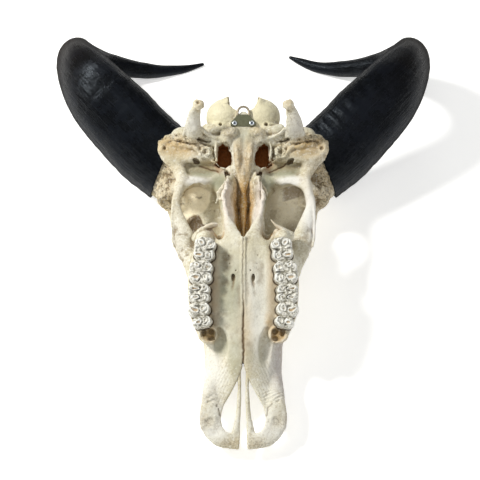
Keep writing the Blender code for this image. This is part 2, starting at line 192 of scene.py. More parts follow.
def tube(stations, up=(0, 0, 1), steps=4, grow=0.0):
    """A bar with oval sections and round ends through stations of x, y, z, half width and half height."""
    margin = 16
    path = spline(stations, steps)
    path[:, 3:] += grow
    reach = path[:, 3:].max(1)[:, None]
    upward = np.array(up, float) / np.linalg.norm(up)

    def distance(x, y, z):
        made = np.full(np.broadcast_shapes(x.shape, y.shape, z.shape), FAR, np.float32)
        for a, b in zip(path, path[1:]):
            span = b[:3] - a[:3]
            length = np.linalg.norm(span)
            if length < 1e-6:
                continue
            span = span / length
            side = np.cross(span, upward)
            side /= np.linalg.norm(side)
            over = np.cross(side, span)
            wide = max(a[3:].max(), b[3:].max()) + margin
            near = []
            for axis, p, q in zip((x, y, z), a, b):
                flat = axis.ravel()
                near.append(slice(np.searchsorted(flat, min(p, q) - wide), np.searchsorted(flat, max(p, q) + wide)))
            part = tuple(near)
            off = [x[near[0]] - a[0], y[:, near[1]] - a[1], z[:, :, near[2]] - a[2]]
            if 0 in made[part].shape:
                continue
            along = sum(o * s for o, s in zip(off, span))
            t = np.clip(along / length, 0, 1)
            width = a[3] + t * (b[3] - a[3])
            height = a[4] + t * (b[4] - a[4])
            spread = [along - t * length, sum(o * s for o, s in zip(off, side)), sum(o * s for o, s in zip(off, over))]
            here = oval(spread, (np.minimum(width, height), width, height))
            made[part] = np.minimum(made[part], here)
        return made

    return (path[:, :3] - reach).min(0), (path[:, :3] + reach).max(0), distance


def loft(stations):
    """A body on the midline through stations of y, belly z, back z and its three half widths from belly to back."""
    fullness_across, fullness_down, end_blend = 3.64, 2.5, 6.0
    path = spline(stations, 4)
    wide = path[:, 3:].max()
    low = np.array((-wide, path[0, 0], path[:, 2].min()))
    high = np.array((wide, path[-1, 0], path[:, 1].max()))

    def distance(x, y, z):
        belly, back, lower, middle, upper = (np.interp(y, path[:, 0], path[:, k]) for k in range(1, 6))
        s = (z - (belly + back) / 2) / ((belly - back) / 2)
        c = np.clip(s, -1, 1)
        width = middle * (1 - c * c) + lower * c * (c + 1) / 2 + upper * c * (c - 1) / 2
        level = ((np.abs(x) / width) ** fullness_across + np.abs(s) ** fullness_down) ** (1 / 3) - 1
        slopes = np.gradient(level.astype(np.float32), x.ravel(), y.ravel(), z.ravel())
        made = level / np.maximum(np.sqrt(sum(g * g for g in slopes)), 1e-4)
        return -blended(-made, -np.maximum(low[1] - y, y - high[1]), end_blend)

    return low, high, distance


def outline_distance(points, u, v):
    """Signed distance in a plane to a closed outline, negative inside."""
    near = np.full(np.broadcast_shapes(u.shape, v.shape), 1e6)
    inside = np.zeros(near.shape, bool)
    for (a, b), (c, d) in zip(points, [*points[1:], points[0]]):
        e, f = c - a, d - b
        if not (e or f):
            continue
        t = np.clip(((u - a) * e + (v - b) * f) / (e * e + f * f), 0, 1)
        near = np.minimum(near, np.hypot(u - a - t * e, v - b - t * f))
        if f:
            inside ^= ((b > v) != (d > v)) & (u < (v - b) * e / f + a)
    return np.where(inside, -near, near)


def slab(points, low, high, both=False):
    """An outline in X and Y between two heights; both mirrors it over the midline."""
    plan = np.array(points, float)
    if both:
        plan = np.vstack([plan, plan[::-1] * (-1, 1)])

    def distance(x, y, z):
        flat = outline_distance([tuple(p) for p in plan], x, y)
        return np.maximum(flat, np.maximum(low - z, z - high)).astype(np.float32)

    return np.array((*plan.min(0), low)), np.array((*plan.max(0), high)), distance


def behind(point, outwards):
    """The half space behind a plane."""
    normal = np.array(outwards, float) / np.linalg.norm(outwards)

    def distance(x, y, z):
        return sum((p - c) * n for p, c, n in zip((x, y, z), point, normal)).astype(np.float32)

    return *EVERYWHERE, distance


def shared(form, other):
    """What two forms have in common."""

    def distance(x, y, z):
        return np.maximum(form[2](x, y, z), other[2](x, y, z))

    return np.maximum(form[0], other[0]), np.minimum(form[1], other[1]), distance


def rough(form, size, depth):
    """A form whose skin is broken up by lumps of a size and depth in mm."""
    low, high, distance = form

    def lumpy(x, y, z):
        return distance(x, y, z) + depth * noise(x, y, z, size)

    return low - depth, high + depth, lumpy


def blended(a, b, k):
    """The lower of two fields, with a fillet of about k where they meet."""
    h = np.maximum(k - np.abs(a - b), 0) / k
    return np.minimum(a, b) - h * h * (k / 4)


class Body:
    """A block of space on a grid, in which each point holds its distance to the skin of a body."""

    def __init__(self, low, high, pitch):
        self.pitch = pitch
        self.axes = [np.arange(math.floor(a / pitch), math.ceil(b / pitch) + 1) * np.float32(pitch)
                     for a, b in zip(low, high)]
        self.field = np.full([len(a) for a in self.axes], FAR, np.float32)

    def part(self, low, high, margin):
        """The slices of the grid that hold a box, and its coordinates there."""
        spans = tuple(slice(max(np.searchsorted(axis, a - margin) - 1, 0), np.searchsorted(axis, b + margin) + 1)
                      for axis, a, b in zip(self.axes, low, high))
        grid = [axis[s].reshape([-1 if i == k else 1 for i in range(3)])
                for k, (axis, s) in enumerate(zip(self.axes, spans))]
        return spans, grid

    def change(self, form, blend, sign):
        """Joins a form on, with sign 1, or takes it out, with sign -1."""
        low, high, distance = form
        spans, grid = self.part(low, high, blend + 3 * self.pitch)
        if min(self.field[spans].shape) > 1:
            self.field[spans] = sign * blended(sign * self.field[spans], distance(*grid), blend)

    def add(self, form, blend=4.0):
        self.change(form, blend, 1)

    def cut(self, form, blend=2.0):
        self.change(form, blend, -1)

    def keep(self, form):
        """Keeps only what lies in the form."""
        _, grid = self.part(*EVERYWHERE, 0)
        self.field = np.maximum(self.field, form[2](*grid))

    def mirror(self):
        """Makes the whole body from its right half."""
        start = int(round(-self.axes[0][0] / self.pitch))
        right = self.field[start:]
        self.field = np.concatenate([right[:0:-1], right])
        count = len(right)
        self.axes[0] = np.arange(1 - count, count) * np.float32(self.pitch)

    def copied(self, low, high):
        """A body of its own from one part of this one."""
        spans, _ = self.part(np.array(low), np.array(high), 0)
        made = Body((0, 0, 0), (1, 1, 1), self.pitch)
        made.axes = [axis[s] for axis, s in zip(self.axes, spans)]
        made.field = self.field[spans].copy()
        return made

    def softened(self, reach, limit):
        """The field averaged over boxes of twice the reach in mm."""
        field = np.clip(self.field, -limit, limit)
        steps = max(1, round(reach / self.pitch))
        for k in range(3):
            ends = [(steps + 1, steps) if i == k else (0, 0) for i in range(3)]
            total = np.cumsum(np.pad(field, ends, "edge"), axis=k, dtype=np.float64)
            count = field.shape[k]
            first = [slice(None)] * 3
            last = [slice(None)] * 3
            first[k] = slice(0, count)
            last[k] = slice(2 * steps + 1, 2 * steps + 1 + count)
            field = ((total[tuple(last)] - total[tuple(first)]) / (2 * steps + 1)).astype(np.float32)
        return field

    def sample(self, field, points):
        """The values of a field on this grid at the points."""
        cells, parts = [], []
        for k in range(3):
            value = np.clip((points[:, k] - self.axes[k][0]) / self.pitch, 0, len(self.axes[k]) - 1.001)
            cells.append(np.floor(value).astype(np.int32))
            parts.append(value - cells[-1])
        return between(lambda *at: field[at], cells, parts)

    def skin(self):
        """Points and four-sided faces of the skin."""
        field = self.field
        shape = np.array(field.shape)
        weights = np.array((shape[1] * shape[2], shape[2], 1))
        cells, points, faces = [], [], []
        for k in range(3):
            a, b = (k + 1) % 3, (k + 2) % 3
            lower = np.take(field, range(shape[k] - 1), k)
            upper = np.take(field, range(1, shape[k]), k)
            at = np.argwhere((lower < 0) != (upper < 0))
            at = at[(at[:, a] > 0) & (at[:, b] > 0) & (at[:, a] < shape[a] - 1) & (at[:, b] < shape[b] - 1)]
            start = field[tuple(at.T)]
            ahead = at.copy()
            ahead[:, k] += 1
            end = field[tuple(ahead.T)]
            crossing = at.astype(np.float64)
            crossing[:, k] += start / (start - end)
            ring = []
            for i, j in ((0, 0), (-1, 0), (-1, -1), (0, -1)):
                cell = at.copy()
                cell[:, a] += i
                cell[:, b] += j
                ring.append(cell @ weights)
                cells.append(ring[-1])
                points.append(crossing)
            ring = np.stack(ring, 1)
            faces.append(np.where((start < 0)[:, None], ring, ring[:, ::-1]))
        cells = np.concatenate(cells)
        points = np.concatenate(points)
        known, index = np.unique(cells, return_inverse=True)
        count = np.bincount(index)
        middle = np.stack([np.bincount(index, points[:, k]) / count for k in range(3)], 1)
        origin = np.array([axis[0] for axis in self.axes])
        faces = np.searchsorted(known, np.concatenate(faces))
        return middle * self.pitch + origin, faces


# ---------------------------------------------------------------- meshes

def linked(name, mesh):
    """A new object in the scene from its data."""
    made = bpy.data.objects.new(name, mesh)
    bpy.context.scene.collection.objects.link(made)
    return made


def mesh_piece(name, points, faces):
    """A smooth mesh in the skull's frame from arrays of points and faces of one length."""
    mesh = bpy.data.meshes.new(name)
    count, sides = faces.shape
    mesh.vertices.add(len(points))
    mesh.vertices.foreach_set("co", np.asarray(points, np.float32).ravel())
    mesh.loops.add(count * sides)
    mesh.loops.foreach_set("vertex_index", faces.astype(np.int32).ravel())
    mesh.polygons.add(count)
    mesh.polygons.foreach_set("loop_start", np.arange(0, count * sides, sides, dtype=np.int32))
    mesh.update(calc_edges=True)
    mesh.validate()
    mesh.polygons.foreach_set("use_smooth", np.full(len(mesh.polygons), True))
    return linked(name, mesh)


def rows_of(items, name):
    """One vector of each item of a mesh, as rows."""
    flat = np.empty(len(items) * 3, np.float32)
    items.foreach_get(name, flat)
    return flat.reshape(-1, 3).astype(np.float64)


def points_of(piece):
    return rows_of(piece.data.vertices, "co")


def move_points(piece, points):
    piece.data.vertices.foreach_set("co", points.astype(np.float32).ravel())
    piece.data.update()


def mirror_mesh(piece):
    piece.data.transform(Matrix.Diagonal((-1, 1, 1, 1)))
    piece.data.flip_normals()


def mark(piece, **masks):
    """Stores a value for each point under each name."""
    for name, values in masks.items():
        layer = piece.data.attributes.new(name, "FLOAT", "POINT")
        layer.data.foreach_set("value", np.clip(values, 0, 1).astype(np.float32))


def largest_only(points, faces):
    """Leaves out loose crumbs: keeps the faces joined to the largest surface."""
    label = np.arange(len(points))
    while True:
        low = label[faces].min(1)
        after = label.copy()
        for k in range(faces.shape[1]):
            np.minimum.at(after, faces[:, k], low)
        after = after[after]
        if (after == label).all():
            break
        label = after
    names, counts = np.unique(label, return_counts=True)
    kept = label == names[counts.argmax()]
    index = np.cumsum(kept) - 1
    return points[kept], index[faces[kept[faces[:, 0]]]]


def laid_down(piece, nodes, finish):
    """Puts a piece in the rest pose on the root body, in place of its nodes, with its finish."""
    piece.data.transform(REST)
    # what would dip under the floor is worn to a small flat, as on the solids
    points = points_of(piece)
    points[:, 2] = np.maximum(points[:, 2], 0)
    move_points(piece, points)
    piece.data.materials.append(finish)
    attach(piece, "root")
    if nodes:
        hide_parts(*nodes)


def zone(points, centre, radii, soft=0.5):
    """1 inside an oval region, fading to 0 over the soft share of its radii."""
    reach = np.sqrt(sum(((points[:, k] - centre[k]) / radii[k]) ** 2 for k in range(3)))
    return np.clip((1 + soft - reach) / (2 * soft), 0, 1)


def paired(points, centre, radii, soft=0.5):
    """The same region on both sides of the head."""
    return zone(np.abs(points) * (1, 0, 0) + points * (0, 1, 1), centre, radii, soft)


def off_line(points, line, warp):
    """Distance from a line through the listed points, seen from the belly side, which wanders by the warp."""
    wide, waves, far = 12.0, 4.0, 1e3
    made = np.full(len(points), far)
    line = np.array(line, float)[:, :2]
    low, high = line.min(0) - wide, line.max(0) + wide
    near = np.flatnonzero(((points[:, :2] > low) & (points[:, :2] < high)).all(1))
    part = points[near]
    part = part[:, :2] + np.stack([noise(*part.T, waves, k * 9.3) * warp for k in range(2)], 1)
    here = np.full(len(near), far)
    for a, b in zip(line, line[1:]):
        span = b - a
        t = np.clip(((part - a) @ span) / (span @ span), 0, 1)
        here = np.minimum(here, np.linalg.norm(part - a - t[:, None] * span, axis=1))
    made[near] = here
    return made


# ---------------------------------------------------------------- the bone

def braincase(skull):
    """The box of the brain, the cores of the horns and the back of the head."""
    skull.add(loft((
        (0, -104, -134, 40, 70, 66), (28, -108, -147, 64, 88, 76), (55, -112, -158, 60, 94, 80),
        (82, -110, -167, 58, 90, 78), (110, -100, -175, 60, 86, 76), (140, -92, -179, 60, 84, 76),
        (166, -92, -176, 56, 76, 70), (184, -104, -164, 44, 58, 52),
    )))
    skull.add(loft((
        (16, -74, -120, 14, 22, 40), (48, -72, -130, 16, 24, 46), (78, -68, -140, 22, 38, 60),
        (104, -66, -150, 32, 54, 66), (130, -64, -150, 40, 62, 70), (156, -64, -150, 42, 70, 70),
        (176, -72, -150, 40, 62, 60), (190, -90, -140, 28, 48, 44),
    )), blend=8)
    core = tube((
        (50, 90, -132, 33, 45), (75, 106, -130, 33, 47), (99, 124, -124, 33, 49), (122, 143, -119, 32.5, 49.5),
    ), up=HORN_UP)
    skull.add(rough(core, 6.0, 0.9), blend=12)
    skull.add(rough(ball((98, 88, -113), (24, 27, 22), (0, 0, 30)), 5.0, 1.6), blend=8)
    # nuchal crest and the ligament knob on the back of the head
    skull.add(tube(((0, 182, -158, 7, 6), (26, 180, -156, 6, 6), (50, 172, -146, 6, 7), (66, 164, -126, 6, 8),
                    (78, 158, -104, 6, 9))), blend=8)
    skull.add(tube(((0, 190, -152, 5, 7), (0, 192, -140, 4, 8), (0, 188, -122, 3, 8))), blend=6)
    skull.cut(ball((24, 200, -132), (16, 11, 14)), blend=6)


def skull_underside(skull):
    """The floor of the braincase, the condyles, the hooked processes, the joints for the jaw and the ear capsules."""
    # floor of the braincase, from the foramen towards its pointed front end
    skull.add(tube((
        (0, 186, -70, 27, 12), (0, 168, -66, 27, 10.5), (0, 154, -64, 22, 11), (0, 144, -64, 18.5, 11),
        (0, 128, -65, 15, 10), (0, 112, -67, 13.5, 10), (0, 98, -70, 10, 10),
    )), blend=5)
    skull.add(tube(((0, 112, -58, 1.2, 2), (0, 98, -57.5, 1.4, 3), (0, 84, -58.5, 1.0, 3))), blend=4)
    # the two tubercles at the back of the floor and the ridges ahead of them
    skull.add(rough(ball((19, 158.5, -55), (12.5, 8.0, 11), (0, 0, -10)), 4.0, 0.6), blend=2)
    skull.add(ball((23, 151, -59), (7, 8, 9)), blend=4)
    skull.add(rough(tube(((10.2, 142, -56.5, 3.0, 3.4), (8.8, 128, -55.2, 4.0, 4.6), (7.4, 116, -57, 3.6, 4.4),
                          (5.0, 100, -62, 2.4, 4))), 3.0, 1.1), blend=2.5)
    skull.cut(tube(((0, 152, -50.5, 4.4, 4), (0, 136, -52, 3.2, 4), (0, 116, -54.5, 2.0, 3.4))), blend=3)
    skull.cut(tube(((0, 178, -50, 6, 4), (0, 160, -48.5, 6, 5))), blend=4)
    # condyles with their peaked inner corners, the groove behind each and the small hole in it
    skull.add(ball((25.5, 187.5, -80), (26, 26, 24), (0, 0, 30)), blend=1.5)
    skull.add(ball((22.5, 203, -76), (8, 13, 17), (0, 0, 12)), blend=5)
    skull.add(ball((30, 172, -72), (17, 12, 12)), blend=3)
    skull.add(tube(((30, 168, -64, 9, 6), (42, 166, -64, 8, 7), (50, 168, -68, 7, 8))), blend=3)
    skull.cut(rough(tube(((20, 172.5, -54.5, 1.6, 2.6), (32, 171, -55.5, 1.7, 3.0), (42, 173, -59, 1.7, 3),
                          (50, 179, -65, 2.0, 4), (54, 190, -75, 2.0, 5))), 3.5, 0.6), blend=1.0)
    skull.cut(ball((31.5, 172, -58), (2.6, 2.4, 8)), blend=1)
    # wings beside the condyles, turned up into the two hooked processes
    skull.add(tube(((24, 148, -66, 9, 8), (44, 151, -68, 8, 9), (62, 156, -74, 12, 12), (84, 158, -88, 14, 16))),
              blend=5)
    skull.add(rough(tube((
        (69, 152, -84, 16, 13), (68, 154, -62, 13, 9), (68, 161, -46, 10.4, 6.4), (68, 169, -34, 9.8, 5.2),
        (66, 177.5, -24, 8.8, 4.6), (62, 184.5, -17, 7.2, 4.4),
    ), up=(0, 1, 0.3)), 5.0, 0.4), blend=4)
    skull.add(rough(ball((59.8, 186.4, -12.4), (8.0, 7.0, 5.2), (0, 0, 20)), 3.0, 0.9), blend=1.0)
    skull.add(tube(((71, 178, -27, 1.6, 2.6), (76, 167, -38, 1.8, 2.6), (80, 158, -50, 2.2, 3), (84, 154, -62, 3, 4))),
              blend=2)
    skull.add(tube(((57, 163, -47, 2.2, 5), (49, 156.5, -54, 2.2, 5), (38, 152.5, -57, 2.6, 4), (28, 152, -58, 3, 4))),
              blend=4)
    skull.add(ball((84, 160, -88), (18, 15, 17)), blend=8)
    skull.add(ball((60, 148, -90), (26, 22, 22)), blend=6)
    # the joint surface for the lower jaw and its ragged rear edge
    skull.add(tube(((48, 131, -72, 10, 8), (76, 132, -70, 12, 8.5), (103, 138, -73, 14, 8.5))), blend=7)
    skull.add(ball((95, 137, -74), (20, 20, 9)), blend=6)
    ragged = tube(((58, 144, -64, 3, 4), (70, 147, -62, 4, 6), (86, 151, -63, 5.5, 6.5),
                   (100, 154, -68, 7, 6.5), (111, 147, -71, 6, 7.5)))
    skull.add(rough(ragged, 4.5, 2.2), blend=2.5)
    skull.add(rough(tube(((64, 139, -62, 2.6, 4), (80, 142, -62, 3.4, 4.6), (96, 145, -65, 4.6, 4.6))), 5.0, 1.2),
              blend=2)
    skull.add(rough(ball((110, 139, -70), (8.5, 9, 8)), 4.5, 1.2), blend=2.5)
    skull.cut(ball((88, 131, -55), (22, 9, 9.5), (0, 4, 16)), blend=4)
    skull.cut(rough(tube(((46, 147.5, -60, 1.6, 6), (60, 150.5, -60, 1.8, 8), (76, 157, -60, 1.8, 7),
                          (92, 163, -66, 1.6, 6))), 4.0, 1.2), blend=1.2)
    skull.cut(rough(tube(((72, 143.5, -56, 1.0, 5), (84, 146.8, -56, 1.2, 5), (98, 149.5, -60, 1.0, 5))), 4.0, 1.0),
              blend=1)
    skull.cut(ball((108, 139.5, -61), (3, 3.4, 6)), blend=1)
    # smooth wall of the temple, rolling over into the orbit
    skull.add(ball((60, 112, -97), (33, 24, 21)), blend=9)
    skull.add(tube(((28, 99, -87, 7, 9), (54, 98, -80, 6.5, 7.5), (80, 92, -73, 6.5, 6.5))), blend=7)
    skull.cut(ball((66, 123.5, -72), (6.4, 3.2, 9), (0, 0, 20)), blend=1.5)
    # sharp ledge ahead of the ear, and the thin bridge from it to the island of the oval hole
    skull.add(rough(tube(((68, 141, -63.5, 2.2, 4), (61, 134, -62.5, 2.2, 4), (56, 127, -64, 2, 4.4),
                          (42, 125, -69, 1.8, 4))), 4.0, 0.8), blend=2.5)
    skull.add(rough(tube(((45, 123, -68, 1.3, 4), (36, 118, -66.5, 1.2, 4), (26, 111, -66, 2, 4))), 3.0, 0.6),
              blend=1.5)
    # broken ear capsule: a ring of shards round a pit
    skull.add(rough(ball((50, 134, -67), (9, 8.5, 10)), 3.5, 1.8), blend=2)
    skull.cut(ball((52, 134, -57), (4.4, 4.8, 8)), blend=1.2)
    skull.cut(ball((46, 141.5, -60), (3.4, 2.6, 7), (0, 0, 20)), blend=1)
    skull.add(rough(tube(((37, 144, -66, 1.5, 8), (38, 134, -64, 1.5, 8), (36.5, 124, -67, 1.8, 7),
                          (34, 117, -70, 2, 6))), 2.5, 1.2), blend=1.5)


def openings_underneath(skull):
    """The openings beside the floor of the braincase, and the large hole behind it that leads inside."""
    lacerum = slab(((15, 119), (15.5, 132), (21, 144), (29, 147), (36, 144.5), (35.5, 134), (35.5, 124), (39, 119),
                    (33, 114.5), (24, 111.5)), -96, -40)
    skull.cut(rough(lacerum, 4.0, 1.7), blend=1.5)
    skull.cut(slab(((22.2, 108.8), (26.4, 107.8), (25, 102.5), (21.8, 97.2), (18.2, 97.4), (19.2, 103)), -82, -50),
              blend=1.0)
    skull.cut(tube(((20.5, 101.5, -50, 2.8, 4.8), (20.5, 101, -76, 2.6, 4.6), (26, 104, -100, 4, 5)), up=(0, 1, 0)),
              blend=1.2)
    skull.cut(tube(((0, 228, -80, 22, 34), (0, 206, -80, 17, 32), (0, 193, -84, 10, 28), (0, 150, -102, 13, 13),
                    (0, 110, -112, 30, 20))), blend=1)
    skull.cut(slab(((0, 193), (11.5, 194), (16, 198.5), (18.2, 204), (20.4, 216), (22, 232), (0, 232)), -110, -30,
                   both=True), blend=0.6)
    skull.add(ball((0.5, 186.5, -63), (5, 5, 5)), blend=3)


def wings_of_the_throat(skull):
    """The leaning thin plates each side of the throat, the channel between them and the blade in the middle."""
    skull.add(tube(((23, 4, -58, 6, 17), (23, 26, -68, 6, 16), (24, 50, -80, 7, 14), (26, 72, -88, 8, 12),
                    (30, 94, -87, 12, 13))), blend=6)
    skull.add(rough(tube((
        (16, -8, -32, 6, 28), (12.5, 8, -35, 4.4, 30), (12.0, 26, -42, 3.4, 30), (14.6, 46, -47.5, 3.2, 29),
        (17.0, 62, -51.5, 3.0, 28), (15.0, 76, -55, 3.6, 25), (14.5, 88, -60, 4.5, 18), (15, 98, -68, 6, 11),
    ), up=(0.36, 0, 1)), 5.0, 1.1), blend=3)
    skull.add(rough(tube(((21.5, 32, -14.5, 2.0, 2.6), (24, 48, -19.5, 2.8, 2.8), (26.5, 62, -23, 2.6, 3.2),
                          (24, 74, -30, 2.4, 3), (21, 86, -40, 2.0, 3))), 3.0, 1.6), blend=2.5)
    skull.cut(tube(((0, 86, -46, 9, 10), (0, 72, -38, 11.5, 25), (0, 42, -34, 12, 30), (0, 14, -32, 11, 27),
                    (0, -14, -38, 9, 16))), blend=1.5)
    skull.cut(rough(slab(((0, 4), (8, 17), (14, 33), (17, 60), (13, 84), (8, 90), (0, 90)), -30, 30, both=True),
                    6.0, 0.7), blend=1.5)
    # the pointed front of the braincase floor, and the blade ahead of it
    skull.add(tube(((0, 104, -66, 9, 8), (0, 92, -64, 7.6, 9), (0, 82, -62.5, 5.0, 8), (0, 72, -62.5, 2.2, 5),
                    (0, 64, -64, 0.9, 3))), blend=2)
    skull.add(rough(tube(((0, -4, -58, 2.0, 14), (0, 24, -60, 2.6, 14), (1.2, 50, -64, 3.4, 14.5),
                          (0.8, 66, -70, 4.0, 12), (0, 88, -76, 4, 10))), 4.0, 1.0), blend=1.5)


def orbits(skull):
    """The rim of each orbit, the cheek arch and the hollows between them."""
    skull.add(tube((
        (86, 2, -78, 6.5, 6.5), (88, 6, -104, 6, 6.5), (92, 24, -124, 6.5, 6.5), (97, 48, -129, 7, 6.5),
        (99, 72, -118, 7, 6.5), (98, 83, -96, 5.5, 5.5), (93, 87, -72, 5.5, 5.5),
    ), up=(1, 0, 0)), blend=7)
    # cheek arch, with its front root swelling into the jaw
    skull.add(tube((
        (56, -48, -28, 12, 15), (61, -34, -34, 13, 18), (70, -14, -42, 13, 17), (79, 6, -51, 12, 13),
        (86, 28, -59, 9.5, 8), (90.5, 46, -60, 6.6, 6.5), (91.5, 62, -61, 6, 6.5), (87.5, 84, -65, 6.5, 7),
        (85, 100, -71, 8, 7.5), (92, 118, -77, 10, 8), (104, 134, -78, 8, 8),
    )), blend=5)
    skull.add(ball((72, 94, -77), (18, 11, 9)), blend=6)
    # the orbit: a wide mouth, a round bowl under the brow, a lower pocket, and the way out to the side
    skull.cut(ball((58, 54, -74), (28, 36, 22)), blend=1.5)
    skull.cut(ball((46, 49, -72), (18.5, 27, 22), (0, 0, -12)), blend=2)
    skull.cut(ball((100, 48, -96), (38, 32, 26)), blend=3)
    # the rounded corner where the cheek arch meets the white bar behind the orbit
    skull.add(tube(((92, 62, -62, 4, 5), (89.5, 74, -65, 5, 6), (83.6, 86, -69, 5.5, 6.5), (72, 92.6, -74, 5.5, 6.5),
                    (58, 94.5, -77, 5, 6))), blend=2.5)
    # the slanting lower rim, over the pocket
    skull.add(tube(((92, 62, -61, 5, 6), (89.6, 46, -58, 8.0, 6), (85.4, 30, -54, 10.8, 7), (77, 12, -48, 11, 10))),
              blend=2)
    skull.cut(ball((56, 24, -60), (12, 8, 26), (0, 0, 32)), blend=2)
    skull.add(tube(((93, -2, -38, 1.2, 3), (95, 12, -47, 1.4, 3), (96.4, 34, -53, 1.4, 3), (96, 54, -56, 1.4, 3),
                    (94.6, 70, -61, 1.4, 3))), blend=3)


# Outlines of the round bowls in the roof of each orbit, and of the left one's lower pocket
LEFT_BOWL = ((-86, 77), (-80.3, 88.3), (-70.3, 93.5), (-60.4, 93.9), (-51.4, 90.3), (-46.4, 86.3), (-46.2, 79),
             (-46.9, 72.1), (-49.4, 67), (-52.3, 63.0), (-57.6, 58.4), (-62.4, 56.8), (-70.0, 57.6), (-78, 53.5),
             (-84, 56), (-88, 64))
LEFT_POCKET = ((-82, 47), (-75, 52.4), (-69, 55.2), (-63, 54.6), (-59.6, 49), (-57.6, 42.4), (-54.0, 39.7), (-54, 32),
               (-60, 22), (-68, 18), (-80, 30))
RIGHT_BOWL = ((51.7, 90.0), (61.3, 93.3), (72.1, 93.3), (80.7, 89.0), (87, 82.3), (90, 73.7), (90, 60), (86, 48),
              (82, 38), (76, 26), (65, 18), (58, 22), (55, 30), (49.0, 41), (46.1, 47.4), (47.2, 61.6), (48.4, 75.8))


def uneven(skull):
    """The broken edges that differ from side to side, on the whole skull."""
    skull.cut(shared(slab(LEFT_BOWL, -130, -60), ball((-66, 72, -85), (31, 33, 20.5))), blend=0.5)
    skull.cut(rough(shared(slab(LEFT_POCKET, -136, -60), ball((-68, 36, -96), (20, 24, 32))), 5.0, 0.4), blend=0.6)
    skull.cut(rough(shared(slab(RIGHT_BOWL, -130, -60), ball((68, 60, -85), (34, 46, 21))), 9.0, 0.5), blend=0.5)
    # the right process swells outwards at its foot
    skull.add(tube(((64, 184, -20, 3, 3), (69, 176, -26, 4.4, 4), (74, 167, -36, 5.4, 5), (78, 157, -52, 6, 6))),
              blend=4)
    # left: a broad shell-like edge beside the notch, right: a thin spike
    skull.add(rough(ball((-50, 9, -20), (13, 11, 12), (0, 0, -30)), 5.0, 0.8), blend=4)
    skull.add(rough(tube((
        (-62, 8, -24, 5, 10), (-56, 14.5, -18, 4.2, 10), (-49, 18.6, -14, 3.6, 10), (-42, 21.6, -13, 3.2, 10),
        (-36.8, 21.8, -14, 2.6, 9),
    )), 4.0, 0.7), blend=2)
    spike = tube(((61, 10, -20, 6, 8), (50, 17, -14, 3.2, 6), (42, 22.5, -11, 1.8, 3.6), (36, 29, -9, 0.9, 1.6)))
    skull.add(rough(spike, 4.0, 0.5), blend=2)
    # ragged laminae in the orbits beside the throat
    for shard in (
        ((-25, 88, -44, 1.4, 3), (-28, 80, -48, 2.6, 2.8), (-33, 75, -55, 3.2, 2.2), (-32, 68, -58, 2.0, 1.6)),
        ((-32, 76, -55, 3.6, 1.4), (-34, 70, -60, 2.2, 1.2), (-38.5, 61.5, -68, 1.0, 1.0)),
        ((-24, 70, -48, 2.4, 3), (-29, 66, -54, 2.0, 2), (-33, 67, -58, 1.0, 1)),
        ((25, 84, -44, 1.4, 2.8), (30, 77, -52, 2.2, 2.2), (33, 71, -58, 1.2, 1.2)),
        ((-84, 60, -66, 1.2, 1.6), (-79.5, 56, -66, 0.7, 0.8)),
    ):
        skull.add(rough(tube(shard), 2.5, 1.1), blend=1.5)
    # worn knob ends and a chip out of the left condyle
    skull.cut(rough(ball((-17.5, 202, -66), (4, 2.6, 14)), 2.5, 0.8), blend=0.8)
    skull.cut(ball((-60.6, 187.5, -8.6), (2.6, 2.2, 1.8)), blend=1)


def muzzle():
    """The long box of the face, from the front bones to the brow."""
    return loft((
        (-229, -6, -20, 34, 38, 34), (-210, -5, -40, 38, 46, 38), (-186, -3, -62, 31, 49, 34),
        (-166, 1, -70, 22, 50, 30), (-146, 3, -78, 22, 51, 30), (-128, 3, -84, 34, 53, 30),
        (-108, 2, -92, 52, 58, 31), (-78, 2, -102, 60, 66, 34), (-48, 2, -113, 60, 71, 42),
        (-18, 2, -124, 54, 75, 56), (6, -3, -134, 44, 74, 70), (18, -20, -140, 30, 66, 78),
    ))


def nose():
    """The passage of the nose."""
    return tube(((0, -270, -44, 41, 33), (0, -200, -42, 41, 28), (0, -160, -51, 40, 28), (0, -120, -57, 34, 27),
                 (0, -80, -62, 22, 24)))


def muzzle_end(body):
    """The front of the muzzle, which the jaw and the front bones share up to their seam."""
    body.add(tube((
        (39, -168, -30, 7, 7), (41.5, -188, -18, 8.5, 8), (42.5, -208, -10.5, 11, 7.5), (41.5, -226, -8, 13.0, 6.5),
        (38.5, -241, -7, 13.6, 6), (29, -252, -6, 12.0, 6), (16, -257, -5.5, 10.5, 5.5), (6, -258, -5, 10, 5),
    )), blend=5)
    body.add(tube((
        (46, -206, -18, 5, 10), (47.5, -192, -32, 4.5, 14), (46, -178, -48, 4.5, 12), (42, -162, -60, 4.5, 7),
    )), blend=5)
    body.add(tube(((49.5, -214, -9, 2.6, 3), (52, -228, -7, 3.4, 3.4), (50.5, -240, -6, 3, 3.4))), blend=4)
    # creases that fan out from the edge of the palate over the waist
    for start, middle, end in (((26, -184), (32, -196), (46, -204)), ((28, -196), (34, -205), (45, -209))):
        body.cut(tube(((*start, -1.6, 1.0, 1.4), (*middle, -2.6, 1.2, 1.5), (*end, -4.8, 1.0, 1.4))), blend=3)


